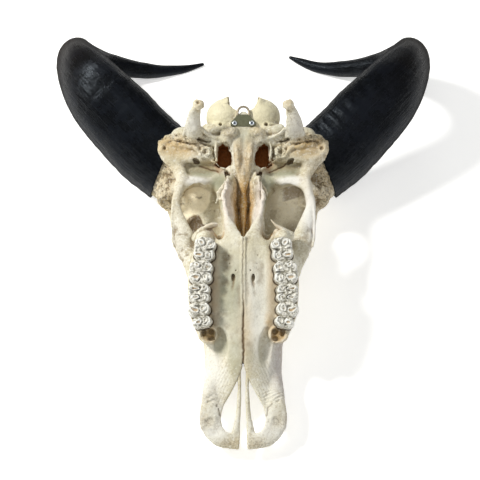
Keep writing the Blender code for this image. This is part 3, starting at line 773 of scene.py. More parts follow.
def face(skull):
    """The muzzle and the jaw, with the palate, its holes and its sockets."""
    skull.add(muzzle(), blend=8)
    skull.add(tube((
        (51, 4, -14, 12, 16), (52, -14, -14, 14, 17), (56, -44, -14, 16, 18), (57, -71, -14, 15, 18),
        (55, -96, -13, 14, 17), (47, -122, -10, 11, 14),
    )), blend=4)
    # the bumpy cheek above the molars
    skull.add(rough(tube(((63, -44, -30, 8, 12), (71, -26, -37, 8.5, 12), (79, -6, -43, 9.5, 11), (85, 12, -50, 8, 9))),
                    7.0, 1.8), blend=6)
    skull.add(tube(((7, 0, -7, 11, 6), (16, 15, -9, 9, 6), (20.5, 30, -12, 4, 6.5))), blend=5)
    skull.add(rough(tube(((44, 14, -22, 4.6, 9), (60, 8, -24, 7, 9))), 5.0, 0.5), blend=3)
    # shallow troughs outside the low ridge on the midline of the palate
    skull.cut(tube(((22, 4, 9, 10, 9), (24, -40, 10, 13, 10), (25, -80, 10, 13, 10), (22, -112, 10, 11, 9))), blend=5)
    skull.add(tube(((0, 2, 0, 2.6, 3), (0, -30, 0.6, 2.4, 2.6), (0, -80, 0, 2.2, 2.4))), blend=3)
    skull.add(ball((0, 3.5, 1.2), (2.6, 3.2, 2.4)), blend=1.5)
    # side of the muzzle ahead of the teeth, under the sharp edge of the palate
    skull.cut(tube(((33, -120, 4, 9, 10), (32.5, -134, 0, 12.5, 13), (33, -148, 0, 13.8, 13.5), (36, -164, 1, 13, 12),
                    (37.5, -180, 0, 13, 10.5), (41.5, -192, -1, 12.5, 8), (47, -202, -2, 9, 6))), blend=0.8)
    # socket of the missing second premolar: a rim round a bowl, with holes and thin walls between
    skull.add(rough(ball((45, -122.5, -4), (13, 12, 10.5)), 5.0, 0.9), blend=3)
    skull.cut(rough(ball((45, -123, 3.6), (10.6, 9.4, 8.6)), 3.5, 1.0), blend=1.0)
    for x, y, wide, deep in ((51, -120.5, 3.8, 5.6), (41, -119.0, 4.2, 3.6), (41.5, -128.0, 5.2, 3.0)):
        skull.cut(rough(tube(((x, y, 12, wide, deep), (x, y, -9, wide * 0.75, deep * 0.75)), up=(0, 1, 0)), 3.0, 1.1),
                  blend=2.5)
    # notch behind the last molar
    skull.cut(rough(tube(((30.5, 15, 20, 7.0, 12), (30.5, 15, -22, 7.0, 13), (31, 32, -56, 8, 16)), up=(0, 1, 0)),
                    5.0, 0.6), blend=1.2)
    # large holes of the palate, slanting forward into a groove
    skull.cut(tube(((12.5, -53, 4, 2.0, 3.6), (12.9, -49, -0.6, 2.2, 4.0), (13.4, -44, -4, 1.6, 2.4)), up=(0, 1, 0)),
              blend=1.4)
    skull.cut(tube(((12.8, -56, 2.0, 2.0, 2.2), (14.8, -66, 3.2, 2, 2.2), (16, -84, 3.9, 1.6, 1.6))), blend=2)
    for x, y, size in ((19, -20, 0.9), (16, -14, 0.6), (9.5, -40, 0.8), (18, -31, 0.7), (21, -60, 0.5)):
        skull.cut(ball((x, y, 1), (size, size * 1.4, 3)), blend=0.6)
    skull.cut(nose(), blend=2)
    muzzle_end(skull)


def fissures(body):
    """The long see-through gaps between the front bones and the jaw."""
    body.cut(slab(((0, -247), (17, -247.4), (22.5, -245.5), (26.5, -240), (28.4, -231), (28, -222), (25.5, -213),
                   (21, -205.4), (14, -193), (8, -182), (3.5, -171), (0.3, -160)), -40, 30, both=True), blend=2)


def block(centre, size, turn, grow):
    """A box turned by degrees about X, then Y, then Z."""
    axes = turned(turn)
    centre = np.array(centre, float)
    half = np.array(size, float) / 2 + grow
    reach = np.abs(axes * half).sum(1)

    def distance(*place):
        off = [p - c for p, c in zip(place, centre)]
        sides = [np.abs(sum(o * a for o, a in zip(off, axes[:, k]))) - half[k] for k in range(3)]
        return np.maximum(np.maximum(sides[0], sides[1]), sides[2]).astype(np.float32)

    return centre - reach, centre + reach, distance


def tooth_outline(tooth, grow=0.0):
    """Closed outline of a crown in the skull's frame, with a lobe for each pair of cusps."""
    _, x, y, width, length, lobes, turn = tooth
    a = math.radians(turn)
    plan = []
    for k in range(72):
        b = 2 * math.pi * k / 72
        u = math.copysign(abs(math.cos(b)) ** 0.6, math.cos(b)) * (width / 2 + grow)
        v = math.copysign(abs(math.sin(b)) ** 0.7, math.sin(b)) * (length / 2 + grow)
        fold = 0.5 + 0.5 * math.cos(2 * math.pi * v / length * lobes + (math.pi if lobes == 1 else 0))
        u -= math.copysign(fold * (2.2 if u < 0 else 1.4), u) * (abs(u) > width * 0.3)
        plan.append((x + u * math.cos(a) - v * math.sin(a), y + u * math.sin(a) + v * math.cos(a)))
    return plan


def sockets(skull):
    """Room for each crown."""
    for tooth in TEETH:
        skull.cut(slab(tooth_outline(tooth, grow=SOCKET_GAP), -5, 30), blend=1)


def horn_root(grow):
    """The part of a horn sheath next to its core."""
    return tube(HORN[:5], up=HORN_UP, steps=3, grow=grow)


def beyond(form, plane):
    """The part of a form in front of a plane."""
    low, high, distance = form

    def ahead(x, y, z):
        return np.maximum(distance(x, y, z), -plane[2](x, y, z))

    return low, high, ahead


def nasal_box(grow=0.0):
    """The box that parts the right nasal from the skull."""
    return block((12.1, -95, -95), (24, 150, 26), (-17, 0, 0), grow)


def build_bone():
    """The skull without its front bones and nasals, and its right nasal."""
    skull = Body((-4, -262, -186), (136, 224, 10), PITCH)
    braincase(skull)
    face(skull)
    skull.add(loft((
        (-160, -70, -78, 9, 14, 9), (-140, -74, -84, 14, 18, 14), (-100, -84, -97, 16, 21, 16),
        (-60, -94, -111, 18, 24, 18), (-20, -108, -126, 18, 26, 20),
    )), blend=3)
    wings_of_the_throat(skull)
    orbits(skull)
    skull_underside(skull)
    openings_underneath(skull)
    fissures(skull)
    sockets(skull)
    skull.cut(beyond(horn_root(SHEATH_GAP), behind(SHEATH_POINT, SHEATH_OUT)), blend=0.5)
    nasal = skull.copied((-3, -178, -144), (28, -12, -58))
    nasal.keep(nasal_box())
    skull.cut(nasal_box(grow=0.1), blend=0.3)
    skull.keep(rough(behind(FRONT_SEAM + SEAM_GAP * FRONT_OUT, FRONT_OUT), 6.0, SEAM_GAP))
    skull.mirror()
    uneven(skull)
    return skull, nasal


def build_front_bone():
    """The right premaxilla: a flat end, its thin inner process and its branch up the muzzle."""
    front = Body((-2, -276, -72), (60, -152, 6), FRONT_PITCH)
    front.add(muzzle(), blend=4)
    front.cut(nose(), blend=2)
    muzzle_end(front)
    fissures(front)
    # broad shallow pit near the outer corner, a low rim round it and the dip towards the gap
    front.cut(rough(ball((43.5, -233, 2.4), (6.4, 8.5, 6.0), (0, 0, 30)), 4.0, 0.8), blend=3)
    front.add(rough(tube(((36, -228, -3.2, 1.2, 1.4), (43, -226, -3, 1.2, 1.4), (49, -231, -3.2, 1.2, 1.4))), 3.0, 0.4),
              blend=3)
    front.cut(ball((33, -243, 3.4), (7, 15, 4.8), (0, 0, 42)), blend=5)
    # worn and porous edge of the tip
    front.cut(rough(tube(((4, -271, 3, 3, 4), (20, -270, 3, 3, 4), (36, -263.5, 2, 3, 4), (52, -248, 1, 2, 3))),
                    3.0, 2.2), blend=1.5)
    front.keep(rough(behind(FRONT_SEAM - SEAM_GAP * FRONT_OUT, -FRONT_OUT), 6.0, -SEAM_GAP))
    front.add(tube((
        (9.5, -250, -6, 6, 4.5), (8.0, -238, -6, 4.6, 4.5), (6.4, -226, -6, 3.6, 4.5), (5, -203, -6, 2.6, 4.5),
        (4.8, -184, -6.5, 2.3, 4.5), (6, -166, -8, 3, 5),
    )), blend=2.5)
    front.cut(slab(((-8, -290), (5.8, -290), (5.2, -264), (3.6, -240), (2.6, -205), (2.3, -150), (-8, -150)), -80, 20),
              blend=1)
    return front


def crown_relief(tooth, points):
    """Height of the chewing surface above the crown's level, and where enamel, dentine and the deep folds show."""
    _, x, y, width, length, lobes, turn = tooth
    a = math.radians(turn)
    off = (points[0] - x, points[1] - y)
    flat = 0 * points[0]
    u = off[0] * math.cos(a) + off[1] * math.sin(a)
    v = off[1] * math.cos(a) - off[0] * math.sin(a)
    lobe = length / lobes
    size = min(1.0, lobe / 15.5)
    lumps = partial(noise, points[0], points[1], flat)
    u = u + 2.2 * lumps(7.0, x) + lumps(2.8, x)
    v = v + 1.8 * lumps(7.0, x + 3) + lumps(2.8, x + 3)
    patch = 0.5 + 0.5 * lumps(3.4, x + 6)
    rim = dentine = fold = flat
    for k in range(lobes):
        w = v - (k - (lobes - 1) / 2) * lobe
        chance = [0.5 + 0.5 * math.sin(7.1 * y + 3.7 * k + n * 2.3) for n in range(4)]
        # the outer cusp: a ring of enamel, open on one side, round a dot of dentine, and a fold on its tongue side
        near, far = (0.13 + 0.05 * chance[0]) * width, (0.20 + 0.08 * chance[1]) * width
        w1 = w - 1.2 * (chance[2] - 0.5)
        away = np.hypot(u - np.clip(u, near, far), w1 * (0.85 + 0.3 * chance[3])) / size
        rim = np.maximum(rim, peak(away - 2.5, 1.0) * (0.55 + 0.55 * patch))
        dentine = np.maximum(dentine, (0.45 + 0.4 * chance[1]) * peak(away, 1.15))
        fold = np.maximum(fold, peak(away - 4.7, 0.8) * ramp(0.22 * width - u, 3) * (patch * 1.2 - 0.1))
        # ribs of enamel on the cheek side
        rib = peak(u - 0.42 * width, 1.6) * (0.6 + 0.4 * np.cos(2 * math.pi * w / lobe * 2))
        rim = np.maximum(rim, 0.8 * rib)
        # the inner cusp: a bent crest of enamel with a faint dot and a bright edge towards the tongue
        inner = np.hypot(u + (0.16 + 0.08 * chance[2]) * width, (w - 1.0 * (chance[1] - 0.5)) * 0.85) / size
        rim = np.maximum(rim, 0.75 * peak(inner - 2.6, 0.9) * (1.3 * patch))
        dentine = np.maximum(dentine, (0.2 + 0.4 * chance[0]) * peak(inner, 0.9))
        rim = np.maximum(rim, 0.95 * peak(inner - 5.8, 1.5) * ramp(-0.2 * width - u, 3))
        fold = np.maximum(fold, 0.6 * peak(inner - 4.3, 0.7) * np.clip(1.0 - patch * 1.4, 0, 1))
    if lobes > 1:
        # the deep valley between the two lobes
        valley = peak(v, 1.1) * (ramp(-1 - u, 4) + 0.6 * ramp(u - 6, 3))
        fold = np.maximum(fold, 0.85 * valley * (0.5 + 0.6 * patch))
    rim = rim * (1 - fold)
    top = 1.1 * lumps(3.2, x) - 0.6 + 0.035 * u
    return top + 2.0 * rim - 0.7 * dentine - 2.8 * fold, rim, dentine, fold


def build_crown(tooth):
    """One right crown, cut off inside its socket."""
    name, x, y, width, length, _, _ = tooth
    room, lowest, highest = 4, -7, 25
    crown = Body((x - width / 2 - room, y - length / 2 - room, lowest),
                 (x + width / 2 + room, y + length / 2 + room, highest), CROWN_PITCH)
    _, (gx, gy, gz) = crown.part(*EVERYWHERE, 0)
    taper = 0.045 * (CROWN_TOP - gz)
    side = outline_distance(tooth_outline(tooth), gx, gy) - np.minimum(taper, 0.7) + 0.15 * noise(gx, gy, gz * 0.3, 3.0)
    top = gz - CROWN_TOP - crown_relief(tooth, (gx, gy))[0]
    crown.field = -blended(-side, -top * 0.7, 3.5).astype(np.float32)
    crown.field = np.maximum(crown.field, CROWN_FOOT - gz).astype(np.float32)
    made = mesh_piece(name + "_r", *largest_only(*crown.skin()))
    at = points_of(made)
    _, rim, dentine, fold = crown_relief(tooth, (at[:, 0], at[:, 1]))
    high = ramp(at[:, 2] - CROWN_TOP + 5, 3)
    mark(made, rim=rim * high, dentine=dentine * high, fold=fold * high, foot=(8 - at[:, 2]) / 10)
    return made


def mirrored_piece(piece, name):
    """A copy of a right piece for the left side."""
    mesh = piece.data.copy()
    mesh.name = name
    made = linked(name, mesh)
    mirror_mesh(made)
    return made


# ---------------------------------------------------------------- horns and hanger

# Where the deep notches lie along each horn, with their width and depth
HORN_NOTCHES = {
    "r": ((86, 2.3, 1.5), (100, 1.8, 0.8), (116, 2.2, 1.7), (134, 1.6, 0.6)),
    "l": ((92, 1.6, 0.6), (112, 1.8, 0.7), (138, 1.5, 0.5)),
}


def build_horn(side):
    """A horn sheath as rings along its middle line, with growth ridges and a square cut where it meets the core."""
    steps, sides = ((26, 150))
    bend_at, bend_reach, ridges_end, ridges_fade, ridge_gap = 330, 70, 230, 120, 2.6
    path = spline(HORN + HORN_TIPS[side], steps)
    upward = Vector(HORN_UP).normalized()
    along = np.gradient(path[:, :3], axis=0)
    along /= np.linalg.norm(along, axis=1)[:, None]
    across = np.cross(along, np.array(upward))
    across /= np.linalg.norm(across, axis=1)[:, None]
    over = np.cross(across, along)
    run = np.concatenate([[0], np.cumsum(np.linalg.norm(np.diff(path[:, :3], axis=0), axis=1))])
    # the round end of the tip: how far on and how wide, as shares of the last radius
    rounding = np.array(((0.35, 0.93), (0.7, 0.70), (0.93, 0.36), (1.0, 0.12)))
    place = np.vstack([path[:, :3], path[-1, :3] + along[-1] * rounding[:, :1] * path[-1, 3]])
    radii = np.vstack([path[:, 3:], rounding[:, 1:] * path[-1, 3:]])
    run = np.concatenate([run, run[-1] + rounding[:, 0] * path[-1, 3]])
    along, across, over = (np.vstack([f, np.repeat(f[-1:], len(rounding), 0)]) for f in (along, across, over))
    turn = 2 * np.pi * np.arange(sides) / sides
    c, s = np.cos(turn)[None, :], np.sin(turn)[None, :]
    length, around = run[:, None], turn[None, :]
    grain = (c * radii[:, :1], s * radii[:, 1:], length + 0 * c)
    # low swellings, shallow growth ridges near the base and a few deep notches on the right horn
    lift = 0.9 * noise(*grain, 38.0) + 0.35 * noise(*grain, 14.0)
    fade = ramp(ridges_end - length, ridges_fade)
    wave = length + 5 * noise(grain[0], grain[1], grain[2] * 0.3, 22.0)
    lift = lift + fade * 0.45 * np.sin(wave / ridge_gap) * (0.5 + 0.5 * noise(*grain, 16.0, 5.0))
    lift = lift + 0.22 * noise(grain[0], grain[1], grain[2] * 0.06, 3.0, 2.0)
    for where, wide, deep in HORN_NOTCHES[side]:
        patch = np.clip(0.25 + noise(grain[0], grain[1], 0 * grain[2] + where, 24.0), 0, 1)
        lift = lift - deep * patch * peak(wave - where, wide)
    lift = lift * ramp(radii[:, :1], 12)
    rings = (place[:, None, :] + across[:, None, :] * ((radii[:, :1] + lift) * c)[..., None]
             + over[:, None, :] * ((radii[:, 1:] + lift) * s)[..., None])
    index = np.arange(len(rings) * sides).reshape(-1, sides)
    after = np.roll(index, -1, 1)
    faces = np.stack([index[:-1], after[:-1], after[1:], index[1:]], -1).reshape(-1, 4)
    made = mesh_piece("horn_sheath_" + side, rings.reshape(-1, 3), faces)
    layer = made.data.attributes.new("grain", "FLOAT_VECTOR", "POINT")
    layer.data.foreach_set("vector", np.stack(grain, -1).astype(np.float32).ravel())
    mark(made, bend=(peak(length - bend_at, bend_reach) * np.clip(c * 0.6 + 0.5, 0, 1)).ravel())
    shape = bmesh.new()
    shape.from_mesh(made.data)
    bmesh.ops.bisect_plane(shape, geom=shape.verts[:] + shape.edges[:] + shape.faces[:], plane_co=SHEATH_POINT,
                           plane_no=SHEATH_OUT, clear_inner=True)
    bmesh.ops.holes_fill(shape, edges=[e for e in shape.edges if e.is_boundary], sides=0)
    bmesh.ops.recalc_face_normals(shape, faces=shape.faces)
    for face in shape.faces:
        face.smooth = len(face.verts) < 5
    shape.to_mesh(made.data)
    shape.free()
    if side == "l":
        mirror_mesh(made)
    return made


def solid_of(name, shape, smooth=True):
    """A piece from a bmesh, with its faces turned outwards."""
    bmesh.ops.recalc_face_normals(shape, faces=shape.faces)
    for face in shape.faces:
        face.smooth = smooth
    mesh = bpy.data.meshes.new(name)
    shape.to_mesh(mesh)
    shape.free()
    return linked(name, mesh)


def wrap(shape, rings):
    """Faces between rings of points, one after the other."""
    for here, there in zip(rings, rings[1:]):
        for a, b, c, d in zip(here, [*here[1:], here[0]], [*there[1:], there[0]], there):
            shape.faces.new((a, b, c, d))


# Underside and thickness of the plate, and where the screws sit
PLATE_Z = -56.5
PLATE_THICKNESS = 2.2
SCREW_X = 11.8
SCREW_Y = 172.3
# Radius and height of the rings of a screw head; the inner ones have the shape of the cross
SCREW_RINGS = ((3.55, 0.0), (3.6, 0.4), (3.4, 0.9), (2.9, 1.25), (2.3, 1.4), (1.8, 1.35), (1.5, 1.2), (1.35, 0.5))
CROSS_RADIUS = 1.7


def build_plate():
    """The pressed steel plate: rounded corners and a softly bevelled edge."""
    right = ((14.8, 168.0), (16.8, 168.6), (17.5, 170.2), (17.5, 173.0), (16.6, 175.0), (11.4, 180.2), (10.2, 182.0),
             (9.5, 184.3), (8.7, 185.0))
    plan = [*right, *[(-x, y) for x, y in reversed(right)]]
    shape = bmesh.new()
    low = [shape.verts.new((x, y, PLATE_Z)) for x, y in plan]
    bottom = shape.faces.new(low)
    raised = bmesh.ops.extrude_face_region(shape, geom=[bottom])
    top = [v for v in raised["geom"] if isinstance(v, bmesh.types.BMVert)]
    bmesh.ops.translate(shape, verts=top, vec=(0, 0, PLATE_THICKNESS))
    rim = [e for e in shape.edges if all(v in top for v in e.verts)]
    bmesh.ops.bevel(shape, geom=rim, offset=0.6, segments=3, profile=0.5, affect="EDGES")
    return solid_of("steel_plate", shape, smooth=False)


def build_screw(name, x, turn):
    """A pan head with a cross recess and a bright rim."""
    shape = bmesh.new()
    sides = 32
    rings = []
    for radius, height in SCREW_RINGS:
        ring = []
        for k in range(sides):
            a = 2 * math.pi * k / sides
            cross = 0.55 + 0.75 * abs(math.cos(2 * a)) ** 3 if radius < CROSS_RADIUS else 1
            r = radius * cross
            ring.append(shape.verts.new((r * math.cos(a), r * math.sin(a), height)))
        rings.append(ring)
    wrap(shape, rings)
    shape.faces.new(rings[0][::-1])
    shape.faces.new(rings[-1])
    place = Matrix.Translation((x, SCREW_Y, PLATE_Z + PLATE_THICKNESS + 0.1))
    shape.transform(place @ Matrix.Rotation(math.radians(turn), 4, "Z"))
    made = solid_of(name, shape)
    at = points_of(made)
    mark(made, recess=ramp(1.9 - np.hypot(at[:, 0] - x, at[:, 1] - SCREW_Y), 0.4))
    return made


def build_loop():
    """The wire ring at the back edge of the plate, whose two feet lie on it."""
    z = PLATE_Z + PLATE_THICKNESS / 2
    edge, sides, thickness = 187.2, 16, 1.35
    bow = [(8 * math.cos(a), edge + 9 * math.sin(a), z) for a in (math.pi * k / 16 for k in range(17))]
    path = spline([(8.2, edge - 4.5, z - 0.2), *bow, (-8.2, edge - 4.5, z - 0.2)], 3)
    shape = bmesh.new()
    rings = []
    for k, place in enumerate(path):
        ahead = path[min(k + 1, len(path) - 1)] - path[max(k - 1, 0)]
        side = np.cross(ahead / np.linalg.norm(ahead), (0, 0, 1))
        wide = 1.55 + 0.12 * math.sin(k * 1.7)
        rings.append([shape.verts.new(place + side * wide * math.cos(a) + np.array((0, 0, thickness)) * math.sin(a))
                      for a in (2 * math.pi * i / sides for i in range(sides))])
    wrap(shape, rings)
    shape.faces.new(rings[0])
    shape.faces.new(rings[-1][::-1])
    return solid_of("wire_loop", shape)


# ---------------------------------------------------------------- finishes

class Value:
    """A socket that can be used in sums; each operator adds its Math node."""

    def __init__(self, finish, socket):
        self.finish = finish
        self.socket = socket

    def math(self, operation, *others, swap=False):
        values = [self, *others]
        if swap:
            values.reverse()
        return self.finish.node("ShaderNodeMath", {"operation": operation}, dict(enumerate(values)))

    def __add__(self, other):
        return self.math("ADD", other)

    def __mul__(self, other):
        return self.math("MULTIPLY", other)

    def __sub__(self, other):
        return self.math("SUBTRACT", other)

    def __rsub__(self, other):
        return self.math("SUBTRACT", other, swap=True)

    __radd__ = __add__
    __rmul__ = __mul__

    def limited(self):
        """The value held between 0 and 1."""
        return self.finish.node("ShaderNodeClamp", {}, {"Value": self})

    def step(self, low, high):
        """0 below low and 1 above high, with a soft step between them."""
        return self.finish.node("ShaderNodeMapRange", {"interpolation_type": "SMOOTHSTEP"},
                                {"Value": self, "From Min": low, "From Max": high})


class Finish:
    """A material whose nodes are made one by one."""

    def __init__(self, name, **fixed):
        self.material = bpy.data.materials.new(name)
        self.material.use_nodes = True
        self.tree = self.material.node_tree
        self.shader = self.tree.nodes["Principled BSDF"]
        for key, value in fixed.items():
            self.shader.inputs[key.replace("_", " ")].default_value = value

    def node(self, kind, settings, inputs, output=0):
        """Adds a node, sets it up, feeds its sockets and returns one output."""
        made = self.tree.nodes.new(kind)
        for key, value in settings.items():
            setattr(made, key, value)
        for key, value in inputs.items():
            if isinstance(value, Value):
                self.tree.links.new(value.socket, made.inputs[key])
            else:
                made.inputs[key].default_value = value
        return Value(self, made.outputs[output])

    def mask(self, name, output="Fac"):
        """What a piece stores for each point."""
        return self.node("ShaderNodeAttribute", {"attribute_name": name}, {}, output)

    def tint(self, share, colour, second):
        """A colour that turns into the second one where the share, held between 0 and 1, is 1."""
        return self.mix(share.limited(), colour, second)

    def scaled(self, where, *scale):
        return self.node("ShaderNodeMapping", {}, {"Vector": where, "Scale": scale})

    def place(self):
        """Where the surface is, in millimetres."""
        return self.scaled(self.node("ShaderNodeTexCoord", {}, {}, "Object"), 1000, 1000, 1000)

    def clouds(self, where, size, detail=3.0, roughness=0.55):
        """Noise from 0 to 1 with lumps of the given size in mm."""
        return self.node("ShaderNodeTexNoise", {}, {"Vector": where, "Scale": 1.0 / size, "Detail": detail,
                                                    "Roughness": roughness})

    def cells(self, where, size):
        """Distance from the nearest of scattered points, which lie about the given size in mm apart."""
        return self.node("ShaderNodeTexVoronoi", {}, {"Vector": where, "Scale": 1.0 / size})

    def mix(self, share, first, second):
        """A colour from first, where share is 0, to second, where it is 1."""
        first, second = [c if isinstance(c, Value) else (*c, 1.0) for c in (first, second)]
        return self.node("ShaderNodeMix", {"data_type": "RGBA"}, {0: share, 6: first, 7: second}, 2)

    def bump(self, height, strength, depth, under=None):
        """Relief with a depth in metres, on top of the relief under it."""
        inputs = {"Height": height, "Strength": strength, "Distance": depth}
        if under:
            inputs["Normal"] = under
        return self.node("ShaderNodeBump", {}, inputs)

    def feed(self, **sockets):
        """Links values to the shader and returns the material."""
        for key, value in sockets.items():
            self.tree.links.new(value.socket, self.shader.inputs[key.replace("_", " ")])
        return self.material

    def dulled(self, share, **fixed):
        """Fades to a second shader, which has the same colour and relief, where share is 1."""
        inputs = {key.replace("_", " "): value for key, value in fixed.items()}
        for key in ("Base Color", "Normal"):
            inputs[key] = Value(self, self.shader.inputs[key].links[0].from_socket)
        second = self.node("ShaderNodeBsdfPrincipled", {}, inputs)
        both = self.node("ShaderNodeMixShader", {}, {0: share, 1: Value(self, self.shader.outputs[0]), 2: second})
        self.tree.links.new(both.socket, self.tree.nodes["Material Output"].inputs["Surface"])
        return self.material


def bone_finish():
    bone = Finish("weathered_bone", IOR=1.5, Specular_IOR_Level=0.3)
    where = bone.place()
    broad = bone.clouds(where, 30.0)
    blotch = bone.clouds(where, 9.0, 4.0, 0.6)
    middle = bone.clouds(where, 5.2, 3.0, 0.6)
    fine = bone.clouds(where, 2.6, 4.0, 0.65)
    grains = bone.clouds(where, 1.2, 2.0, 0.7)
    # fresh bone, then its stains, painted shade and painted light one over the other
    colour = bone.mix(broad.step(0.35, 0.65), (0.66, 0.61, 0.45), (0.80, 0.765, 0.63))
    # bleached bone, with painted light on the right cheek arch, the bars behind the orbits and the throat plates
    colour = bone.tint(bone.mask("bleached") * (blotch * 0.5 + 0.75), colour, (0.88, 0.87, 0.83))
    # grey-green tone, mostly painted shade on the temples, orbit walls, palate and muzzle
    colour = bone.tint(bone.mask("mossy") * (blotch * 0.6 + 0.7), colour, (0.38, 0.38, 0.27))
    # painted shade, mauve grey, on sides turned from the light and under the bar in the right bowl
    colour = bone.mix(bone.mask("mauve"), colour, (0.50, 0.455, 0.445))
    # ochre stains, with painted shade in the orbit bowls and in the notch behind the last molar
    ochre = (bone.mask("ochre") * (blotch * 1.8 + 0.05)).limited()
    colour = bone.mix(ochre, colour, (0.58, 0.39, 0.16))
    colour = bone.tint(bone.mask("flush") * (blotch + 0.3), colour, (0.76, 0.57, 0.45))
    # painted light: a bright cream pool in the bowls of the orbits
    colour = bone.tint(bone.mask("cream") * 0.95, colour, (0.98, 0.89, 0.68))
    colour = bone.tint(bone.mask("golden") * (fine * 0.9 + 0.5), colour, (0.56, 0.35, 0.12))
    # painted shade, dark brown, in the hollows of the skin
    hollow = (bone.mask("hollow") * (fine * 0.8 + 0.7)).limited()
    colour = bone.mix(hollow * 0.78, colour, (0.20, 0.135, 0.065))
    # the flecks of old bone, which are faint where it is calm
    calm = bone.mask("bleached") + bone.mask("mossy") * 1.2 + bone.mask("cream") + bone.mask("sound") + ochre * 0.8
    aged = 1 - calm.limited() * 0.85
    colour = bone.mix(blotch.step(0.58, 0.74) * 0.26, colour, (0.42, 0.32, 0.17))
    colour = bone.mix(middle.step(0.56, 0.66) * aged * 0.36, colour, (0.44, 0.36, 0.22))
    colour = bone.mix(middle.step(0.44, 0.36) * aged * 0.36, colour, (0.93, 0.92, 0.86))
    colour = bone.mix(fine.step(0.56, 0.66) * aged * 0.42, colour, (0.36, 0.28, 0.16))
    colour = bone.mix(fine.step(0.46, 0.34) * aged * 0.40, colour, (0.96, 0.95, 0.90))
    colour = bone.mix(grains.step(0.58, 0.72) * aged * 0.42, colour, (0.30, 0.23, 0.13))
    colour = bone.mix(bone.mask("ivory") * (1 - fine.step(0.6, 0.8) * 0.4), colour, (0.78, 0.72, 0.50))
    pores = bone.cells(where, 2.3)
    pitted = bone.mask("pores") * (1 - pores.step(0.12, 0.46))
    colour = bone.tint(pitted * 0.8, colour, (0.15, 0.10, 0.05))
    # dark lines of cracks, sutures and tooth gaps, also painting the shadow in the orbit pockets
    colour = bone.mix(bone.mask("crack"), colour, (0.12, 0.072, 0.034))
    # painted shade, reddish brown, deep inside the openings
    colour = bone.mix(bone.mask("inside"), colour, (0.27, 0.085, 0.014))
    roughness = 0.66 - bone.mask("polish") * 0.34 + fine * 0.12
    relief = bone.bump(grains, 0.4, 0.0004)
    relief = bone.bump(fine, 0.7, 0.0007, relief)
    relief = bone.bump(middle, 0.5, 0.0015, relief)
    relief = bone.bump(1 - pitted, 0.9, 0.0014, relief)
    return bone.feed(Base_Color=colour, Roughness=roughness, Normal=relief)


def tooth_finish():
    tooth = Finish("worn_tooth", IOR=1.6, Specular_IOR_Level=0.4)
    where = tooth.place()
    cloud = tooth.clouds(where, 3.2, 3.0, 0.6)
    fine = tooth.clouds(where, 1.0)
    colour = tooth.mix(cloud.step(0.40, 0.58), (0.31, 0.29, 0.225), (0.84, 0.82, 0.75))
    colour = tooth.tint(tooth.mask("rim") * 1.2, colour, (0.94, 0.94, 0.90))
    colour = tooth.tint(tooth.mask("dentine") * 1.1, colour, (0.50, 0.34, 0.17))
    colour = tooth.tint(tooth.mask("fold") * 1.5, colour, (0.10, 0.09, 0.065))
    colour = tooth.tint(tooth.mask("foot") * (fine + 0.4), colour, (0.07, 0.045, 0.03))
    return tooth.feed(Base_Color=colour, Roughness=0.32 + fine * 0.2, Normal=tooth.bump(fine, 0.3, 0.0004))


def horn_finish():
    horn = Finish("black_horn", IOR=1.5, Specular_IOR_Level=0.18, Specular_Tint=(0.76, 0.87, 1.0, 1))
    grain = horn.mask("grain", "Vector")
    streak = horn.clouds(horn.scaled(grain, 1, 1, 0.05), 2.3, 4.0, 0.75)
    ring = horn.clouds(horn.scaled(grain, 0.10, 0.10, 1), 3.0, 4.0, 0.7)
    cloud = horn.clouds(grain, 22.0, 4.0, 0.6)
    dull = cloud.step(0.40, 0.62)
    colour = horn.mix(dull, (0.0006, 0.0006, 0.0012), (0.002, 0.0026, 0.005))
    colour = horn.mix(streak.step(0.60, 0.72) * 0.6, colour, (0.018, 0.021, 0.032))
    colour = horn.tint(horn.mask("bend") * 0.6, colour, (0.030, 0.020, 0.014))
    slant = horn.node("ShaderNodeLayerWeight", {}, {"Blend": 0.5}, "Facing")
    roughness = 0.17 + dull * 0.06 + streak * 0.16 + slant.step(0.55, 1.0) * 0.30
    relief = horn.bump(streak, 0.9, 0.0009)
    relief = horn.bump(ring, 0.7, 0.0005, relief)
    relief = horn.bump(cloud, 0.5, 0.0016, relief)
    horn.feed(Base_Color=colour, Roughness=roughness, Normal=relief)
    # the sides of the horns, seen at a slant, are dull and hardly mirror the floor
    return horn.dulled(slant.step(0.40, 0.85) * 0.80, Roughness=0.8, Specular_IOR_Level=0.02)


def plate_finish():
    plate = Finish("olive_steel", IOR=1.45)
    where = plate.place()
    cloud = plate.clouds(where, 4.0)
    fine = plate.clouds(where, 0.8)
    colour = plate.mix(cloud, (0.07, 0.078, 0.045), (0.19, 0.19, 0.12))
    colour = plate.mix(fine.step(0.6, 0.75) * 0.5, colour, (0.22, 0.16, 0.09))
    return plate.feed(Base_Color=colour, Metallic=0.3 + cloud * 0.35, Roughness=0.42 + fine * 0.25,
                      Normal=plate.bump(fine, 0.3, 0.0003))


def loop_finish():
    loop = Finish("tarnished_wire", IOR=1.45)
    cloud = loop.clouds(loop.place(), 2.0)
    colour = loop.mix(cloud, (0.22, 0.17, 0.11), (0.52, 0.46, 0.36))
    return loop.feed(Base_Color=colour, Metallic=0.6 + cloud * 0.3, Roughness=0.35 + cloud * 0.2,
                     Normal=loop.bump(cloud, 0.3, 0.0003))


def screw_finish():
    screw = Finish("zinc_screw", IOR=1.45)
    where = screw.place()
    cloud = screw.clouds(where, 1.0)
    recess = screw.mask("recess")
    colour = screw.mix(cloud, (0.60, 0.66, 0.72), (0.85, 0.88, 0.90))
    colour = screw.mix(recess, colour, (0.03, 0.07, 0.16))
    return screw.feed(Base_Color=colour, Metallic=0.9 + cloud * 0.1, Roughness=0.22 + cloud * 0.15,
                      Normal=screw.bump(cloud, 0.15, 0.0002))


# ---------------------------------------------------------------- the skin of the bone

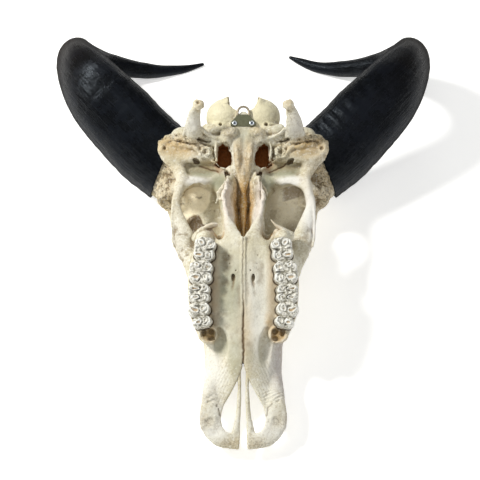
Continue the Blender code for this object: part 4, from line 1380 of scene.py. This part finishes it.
# Lines on the bone, seen from the belly side; a crack also says how high it lies
MIDLINE = ((0.4, 5), (-0.5, -40), (0.3, -90), (-0.2, -120), (0.5, -142), (-0.4, -162))
CRACKS = (
    ((-34, -213, -6), (-29.5, -223, -6)),
    ((36, -211, -6), (32, -215, -6), (29, -226, -6)),
    ((-93, 156, -62), (-83, 161, -60), (-73, 156.5, -60), (-61, 147.5, -62), (-51, 144, -64)),
    ((94, 155, -62), (82, 159, -60), (70, 154, -60), (58, 146, -63)),
    ((-60, 117, -70), (-44, 112, -72), (-34, 109, -74)),
    ((62, 120, -70), (50, 115, -72), (36, 108, -74)),
    ((23, 92, -44), (22, 60, -26)),
    ((-67, 79, -104), (-62, 78.4, -104), (-58.6, 79.2, -104)),
    ((-20.5, 213, -70), (-18.4, 204, -68), (-13, 195.6, -66)),
    ((21, 213, -70), (18.2, 204, -68), (13, 195.6, -66)),
)
TOP_SEAMS = (
    ((0, -10), (0, 60), (0, 120), (0, 184)),
    ((24, -20), (34, -26), (56, -6), (78, 0)),
    ((-24, -20), (-34, -26), (-56, -6), (-78, 0)),
)


def porous(points):
    """Where the bone is full of small holes: horn cores, joint edges, tubercles and the tip."""
    one, both = partial(zone, points), partial(paired, points)
    core = 0.9 * both((118, 96, -104), (26, 44, 46), 0.35)
    joint = both((86, 152, -62), (34, 9, 10), 0.5)
    tubercle = 0.4 * both((17, 158, -48), (14, 10, 8), 0.5)
    ridge = 0.4 * both((7, 122, -54), (7, 24, 6), 0.5)
    tip = 0.42 * both((22, -264, -4), (36, 10, 14), 0.5)
    pit = 0.35 * both((44, -234, -4), (10, 10, 8), 0.5)
    cheek = 0.25 * one((-88, -10, -36), (16, 36, 22), 0.5)
    ear = 0.8 * both((50, 134, -60), (12, 12, 12), 0.4)
    nape = 0.45 * one((0, 186, -140), (70, 22, 36), 0.5)
    return np.max([core, joint, tubercle, ridge, tip, pit, cheek, ear, nape], 0)


def roughened(points, normals, pores, belly):
    """The points moved along their normals by the unevenness of weathered bone, its sutures and its cracks."""
    x, y, z = points.T
    lumps = partial(noise, x, y, z)
    aged = ramp(y + 40, 200)
    lift = 0.45 * lumps(20.0) + 0.28 * lumps(8.0, 3.0) + 0.14 * lumps(3.6, 7.0)
    lift += aged * 0.25 * lumps(5.0, 12.0)
    # thin veins wander over the older bone
    web = np.abs(lumps(13.0, 21.0) + 0.35 * lumps(4.0, 8.0))
    veins = np.clip(1 - web / 0.055, 0, 1) * np.clip(lumps(30.0, 5.0) + 0.15 + 0.5 * aged, 0, 1)
    lift -= 0.35 * veins
    nodule = np.abs(lumps(4.2, 1.0)) - 0.35 + 0.5 * np.abs(lumps(2.4, 4.0))
    lift += pores * 1.9 * nodule
    burr = paired(points, (100, 84, -104), (24, 30, 34), 0.3)
    lift += burr * 2.4 * (np.abs(lumps(4.6, 17.0)) - 0.4)
    cheeks = ((-84, 1), (84, 0.35))
    cheek = sum(share * zone(points, (at, -8, -36), (20, 40, 24), 0.4) for at, share in cheeks)
    lift += cheek * 1.8 * lumps(7.5, 15.0)
    # the suture of the palate is open in front, and between two low ridges farther back
    middle = off_line(points, MIDLINE, 0.9)
    open_suture = ramp(-84 - y, 12)
    lift -= belly * open_suture * 2.0 * peak(middle, 1.1)
    twin = ramp(y + 100, 8) * ramp(6 - y, 4)
    lift += belly * twin * (1.2 * peak(middle - 2.1, 1.2) - peak(middle, 0.8))
    crack = np.zeros(len(points))
    for line in CRACKS:
        # a crack stays near its own depth, and is fainter in front and in the roof of the orbits
        level = np.clip(2 - np.abs(z - np.mean([p[2] for p in line])) / 6, 0, 1)
        share = 0.6 if line[0][1] < -200 or line[0][2] < -100 else 1
        crack = np.maximum(crack, share * level * peak(off_line(points, line, 0.9), 0.9))
    for line in TOP_SEAMS:
        crack = np.maximum(crack, 0.7 * (1 - belly) * peak(off_line(points, line, 2.2), 0.9))
    lift -= 1.3 * crack
    # fine creases where the front bones join the jaw
    for side in (-1, 1):
        near = zone(points, (side * 38, -201, -8), (15, 8, 12), 0.5)
        fan = (y + 201) - side * (x - side * 38) * 0.45 + 1.6 * lumps(9.0)
        lift += near * 0.65 * np.sin(fan * 1.5)
        beside = zone(points, (side * 27, -188, -5), (10, 34, 12), 0.5)
        lift += beside * 0.30 * np.sin((side * x * 0.9 + y * 0.42) * 1.7 + 2.0 * lumps(12.0))
    stain = np.max([crack, belly * open_suture * peak(middle, 1.05), 0.5 * belly * twin * peak(middle, 0.8),
                    0.35 * veins], 0)
    return points + normals * lift[:, None], stain


def tooth_gaps(points):
    """The dark line round the crowns, on their tongue side."""
    made = np.zeros(len(points))
    near = np.flatnonzero((points[:, 2] > -6) & (np.abs(points[:, 0]) > 25))
    at = points[near]
    dark = np.zeros(len(near))
    for tooth in TEETH:
        away = np.abs(outline_distance(tooth_outline(tooth, grow=0.8), np.abs(at[:, 0]), at[:, 1]))
        dark = np.maximum(dark, np.clip(1.5 * peak(away, 1.15), 0, 1))
    made[near] = dark
    return made


def bone_masks(piece, body, pores, stain):
    """Stores where each tone of the bone lies, and where light and shade are painted."""
    points = points_of(piece)
    one, both = partial(zone, points), partial(paired, points)
    # how far each point lies inside the bone averaged over a few mm, and over a larger reach
    close = body.sample(body.softened(3.0, 6.0), points)
    wide = body.sample(body.softened(11.0, 14.0), points)
    x, y, z = points.T
    throat = one((0, 40, -58), (17, 56, 26), 0.3)
    waist = both((34, -176, -14), (24, 60, 34), 0.2)
    floor = one((0, 136, -56), (22, 34, 14), 0.3)
    # painted shade where the skin is hollow over a few mm
    hollow = np.clip(-close / 0.8 - 0.1, 0, 1) * (1 - 0.85 * waist) * (1 - 0.6 * floor) * (1 - 0.6 * throat)
    plates = both((19, 52, -24), (11, 44, 22), 0.4)
    hollow = hollow * (1 - 0.5 * both((45, -123, -4), (14, 13, 12), 0.2)) * (1 - 0.7 * plates)
    deep = np.clip(-wide / 3.0 - 0.9, 0, 1) * ramp(y - 40, 40)
    under = both((27, 131, -88), (15, 24, 34), 0.25)
    roof = ramp(-95.5 - z, 2.5)
    # the left bowl is painted as lit all over
    left_bowl = np.clip(0.5 - outline_distance(LEFT_BOWL, x, y) / 2, 0, 1) * roof
    right_bowl = np.clip(0.5 - outline_distance(RIGHT_BOWL, x, y) / 2, 0, 1) * roof
    bowl = np.maximum(left_bowl, right_bowl)
    # painted shadow of the bar over the upper part of the right bowl, with a clear lower edge
    brown = right_bowl * ramp(y - 74 - (x - 62.3) * 0.31, 1.5) * ramp(x - 54, 4)
    # painted shade deep inside the openings under the ear and where the bone is enclosed
    inside = np.maximum(under * ramp(-68 - z, 8), deep * 0.3 * (1 - bowl))
    inside = np.maximum(inside, 0.5 * both((20.5, 101, -66), (4.5, 6, 12), 0.3))
    golden = throat * ramp(-36 - z, 14) * (np.abs(x) < 24)
    ivory = 0.85 * both((28, 190, -74), (27, 27, 24), 0.12)
    # painted shadow in the left orbit's lower pocket and in the low part of the right bowl
    pocket = np.clip(1.4 - outline_distance(LEFT_POCKET, x, y), 0, 1) * roof
    pocket = np.maximum(pocket, 0.6 * one((68, 28, -110), (14, 16, 30), 0.5))
    socket = 0.5 * both((45, -123, -8), (11, 10, 8), 0.2) * (z < -3)
    notch = both((30.5, 15, -24), (9, 15, 18), 0.15) * (z < -5)
    edge = peak(np.hypot((np.abs(x) - 28) / 26, (y - 190) / 25) - 0.93, 0.06) * (z < -62) * (z > -100) * (y > 176)
    shelf = both((46, 46, -92), (30, 46, 18), 0.3) * ramp(-74 - z, 6) * (1 - bowl)
    # ochre stains; painted shade in the notch, in the upper left of the left bowl and under the bar in the right one
    ochre = np.max([
        0.34 * shelf,
        0.20 * throat,
        0.55 * both((7.5, 122, -54), (8, 26, 8), 0.4),
        0.60 * edge,
        0.30 * one((0, 84, -60), (8, 24, 10), 0.4),
        0.80 * both((90, 142, -66), (32, 16, 14), 0.5),
        0.45 * both((39.5, -66, 2), (7, 64, 9), 0.6),
        0.42 * both((110, 92, -100), (30, 46, 46), 0.5),
        0.22 * one((-45, -233, -4), (7, 8, 8), 0.8),
        0.12 * one((45, -232, -4), (7, 8, 8), 0.8),
        0.20 * both((12, -262, -4), (16, 8, 10), 0.6),
        0.50 * both((60, 187, -14), (8, 8, 8), 0.6),
        # painted shade in the notch behind the last molar
        0.85 * notch,
        # painted shadow in the upper left of the left bowl
        0.60 * one((-78, 80, -112), (17, 20, 26), 0.6),
        0.30 * brown,
        0.70 * both((30, 14, -30), (12, 16, 20), 0.3),
        0.30 * both((21, 160, -48), (12, 9, 8), 0.6),
        0.35 * one((3, -120, 0), (8, 50, 6), 0.6),
        0.75 * one((36, -108, 2), (7, 14, 8), 0.6),
        0.85 * both((45, -124, -6), (12, 12, 9), 0.4),
        0.75 * both((19, 208, -72), (3.4, 12, 20), 0.5),
        0.35 * both((40, 118, -74), (30, 8, 12), 0.5),
    ], 0)
    flush = np.max([0.42 * both((24, 50, -30), (12, 46, 28), 0.5),
                    0.30 * both((38, -60, 3), (7, 60, 8), 0.6),
                    0.35 * both((40, 20, -10), (14, 14, 12), 0.5)], 0)
    # mostly painted shade, grey-green: temples, orbit walls, the palate and muzzle in the shadow of the left teeth;
    # grey-green tone on the braincase floor and front pits
    mossy = np.max([
        0.95 * both((58, 111, -80), (24, 12, 16), 0.35),
        0.90 * both((33, 84, -84), (13, 26, 26), 0.25),
        0.62 * shelf,
        0.72 * one((-20, -66, 0), (20, 44, 8), 0.5),
        0.12 * one((16, -66, 0), (18, 44, 8), 0.5),
        0.60 * one((-29, -132, -8), (12, 18, 16), 0.22),
        0.50 * one((-10, -150, 0), (10, 26, 10), 0.4),
        0.30 * one((24, -146, -10), (6, 24, 16), 0.4),
        0.50 * one((0, 154, -52), (14, 18, 10), 0.5),
        0.35 * one((9, -150, 0), (6, 12, 8), 0.4),
        0.28 * one((-44, -231, -4), (8, 7, 8), 0.8),
        0.16 * one((42, -230, -4), (9, 6, 8), 0.8),
    ], 0) * (1 - bowl)
    # bleaching, and painted light on the right arch, the bars behind the orbits and the throat plates
    bleached = np.max([
        0.65 * one((-42, -170, -12), (18, 40, 30), 0.5),
        0.6 * one((42, -170, -12), (18, 40, 30), 0.5),
        0.9 * both((66, 94, -70), (24, 8, 10), 0.35),
        0.15 * one((-92, 40, -54), (14, 60, 16), 0.5),
        0.95 * one((92, 40, -54), (14, 60, 16), 0.5),
        0.6 * both((70, 166, -40), (12, 16, 26), 0.5),
        0.6 * one((16, -90, 0), (20, 60, 8), 0.5),
        0.7 * both((34, -240, -4), (22, 24, 10), 0.5),
        0.8 * one((-46, 22, -12), (16, 5, 6), 0.4),
        0.25 * floor,
        0.85 * plates,
    ], 0)
    # painted light on the floor of the right bowl, outside the bar's shadow
    blush = 0.75 * one((62, 58, -104), (22, 34, 20), 0.5) * (1 - brown)
    sound = both((16, -66, 0), (24, 78, 12), 0.3)
    # painted shade, mauve grey: right walls of muzzle, cheek and process, the bar's shadow, and toning down the lit
    # left cheek and front bone
    mauve = np.max([
        0.75 * one((52, -160, -26), (16, 48, 28), 0.4),
        0.18 * one((90, -16, -52), (18, 44, 26), 0.5),
        0.45 * brown,
        0.28 * one((-86, -12, -44), (18, 44, 26), 0.5),
        0.26 * one((-44, -232, -8), (22, 34, 14), 0.5),
        0.30 * one((76, 170, -50), (12, 20, 30), 0.5),
        0.35 * one((56, -236, -10), (8, 20, 12), 0.5),
    ], 0)
    polish = np.max([both((34, 192, -74), (20, 24, 22), 0.2),
                     0.5 * both((96, 132, -66), (20, 14, 10), 0.5)], 0)
    # all the painted shade: hollows, orbit pockets, the socket, the bar's shadow and grooves
    dark = np.max([
        hollow * (1 - 0.7 * bowl),
        1.1 * pocket,
        socket,
        0.30 * one((34, 48, -92), (12, 40, 20), 0.3),
        0.34 * brown,
        0.32 * both((2, 112, -58), (4, 28, 8), 0.5),
    ], 0)
    # the crack tone also paints the shadow in the orbit pockets
    crack = np.max([stain, tooth_gaps(points) * (z > -8), 0.55 * pocket], 0)
    mark(piece, hollow=dark, inside=inside, ochre=ochre * (1 - polish * 0.4), flush=flush, mossy=mossy, mauve=mauve,
         golden=golden, cream=np.maximum(left_bowl, blush), sound=0.8 * sound, ivory=ivory * (1 - hollow),
         bleached=bleached * (1 - pores), polish=polish, pores=pores, crack=crack)


def bone_piece(name, body):
    """Meshes a body of bone, roughens its skin and stores its tones."""
    points, faces = largest_only(*body.skin())
    piece = mesh_piece(name, points, faces)
    normals = rows_of(piece.data.vertex_normals, "vector")
    belly = ramp(points[:, 2] + 96, 20)
    pores = porous(points)
    moved, stain = roughened(points, normals, pores, belly)
    move_points(piece, moved)
    bone_masks(piece, body, pores, stain)
    return piece


# ---------------------------------------------------------------- the scene

# Name, place, size, power and tint of each lamp
LAMPS = (
    ("key", (-1.50, 0.25, 1.90), 0.40, 49, (1.0, 0.985, 0.94)),
    ("front", (-0.2, -1.0, 2.2), 1.4, 7, (1.0, 0.99, 0.96)),
    ("fill", (1.5, -0.9, 1.9), 1.4, 5, (0.96, 0.88, 1.0)),
    ("back", (0.2, 2.2, 1.4), 1.4, 6, (1.0, 1.0, 1.0)),
)
LAMPS_AIM = Vector((0, 0, 0.08))


def stage_and_light():
    floor_mesh = bmesh.new()
    bmesh.ops.create_grid(floor_mesh, x_segments=8, y_segments=8, size=6)
    floor = solid_of("floor", floor_mesh)
    if floor.data.polygons[0].normal.z < 0:
        floor.data.flip_normals()
    paper = Finish("pale_floor", Roughness=0.95, Specular_IOR_Level=0.0, Emission_Strength=0.5,
                   Emission_Color=(1, 1, 1, 1))
    tone = paper.clouds(paper.place(), 400.0)
    floor.data.materials.append(paper.feed(Base_Color=paper.mix(tone, (0.90, 0.90, 0.90), (0.92, 0.92, 0.92))))

    world = bpy.data.worlds.new("studio")
    bpy.context.scene.world = world
    world.use_nodes = True
    sky = world.node_tree.nodes["Background"]
    sky.inputs["Color"].default_value = (0.97, 1.0, 0.93, 1)
    sky.inputs["Strength"].default_value = 0.25
    for name, place, size, power, tint in LAMPS:
        lamp = bpy.data.lights.new(name, "AREA")
        lamp.shape = "DISK"
        lamp.size = size
        lamp.energy = power
        lamp.color = tint
        made = linked(name, lamp)
        made.location = place
        made.rotation_euler = (LAMPS_AIM - Vector(place)).to_track_quat("-Z", "Y").to_euler()
    bpy.context.scene.view_settings.view_transform = "Standard"


def set_camera():
    """The photograph's view: 10 degrees forward of straight above the palate, from 1.5 m."""
    distance, frame_side, focal_length, shift = 1500, 480, 1153.8, -3.3
    lean = math.radians(10)
    back = Vector((0, -math.sin(lean), math.cos(lean)))
    up = Vector((0, math.cos(lean), math.sin(lean)))
    look = Matrix((up.cross(back), up, back)).transposed().to_4x4()
    place, turn, _ = (REST @ Matrix.Translation(back * distance) @ look).decompose()
    data = bpy.data.cameras.new("camera")
    camera = linked("camera", data)
    camera.rotation_mode = "QUATERNION"
    camera.location, camera.rotation_quaternion = place, turn
    data.sensor_width = 36
    # both in the photograph's pixels
    data.lens = data.sensor_width * focal_length / frame_side
    data.shift_x = shift / frame_side
    bpy.context.scene.camera = camera


def main():
    bone = bone_finish()
    tooth = tooth_finish()
    horn = horn_finish()

    body, nasal = build_bone()
    skull = bone_piece("skull_bone", body)
    laid_down(skull, ("cranium", "upper_jaw", "zygomatic_l", "zygomatic_r"), bone)
    for name, part in (("nasal", nasal), ("premaxilla", build_front_bone())):
        right = bone_piece(name + "_bone_r", part)
        left = mirrored_piece(right, name + "_bone_l")
        laid_down(right, (name + "_r",), bone)
        laid_down(left, (name + "_l",), bone)
    for row in TEETH:
        right = build_crown(row)
        left = mirrored_piece(right, row[0] + "_l")
        laid_down(right, (), tooth)
        laid_down(left, (), tooth)
    for side in "rl":
        laid_down(build_horn(side), ("horn_" + side,), horn)
    laid_down(build_plate(), ("hanger_plate",), plate_finish())
    laid_down(build_loop(), ("hanger_loop",), loop_finish())
    screw = screw_finish()
    for side, x, turn in (("r", SCREW_X, 20), ("l", -SCREW_X, 65)):
        laid_down(build_screw("screw_" + side, x, turn), ("hanger_screw_" + side,), screw)
    stage_and_light()
    set_camera()


main()
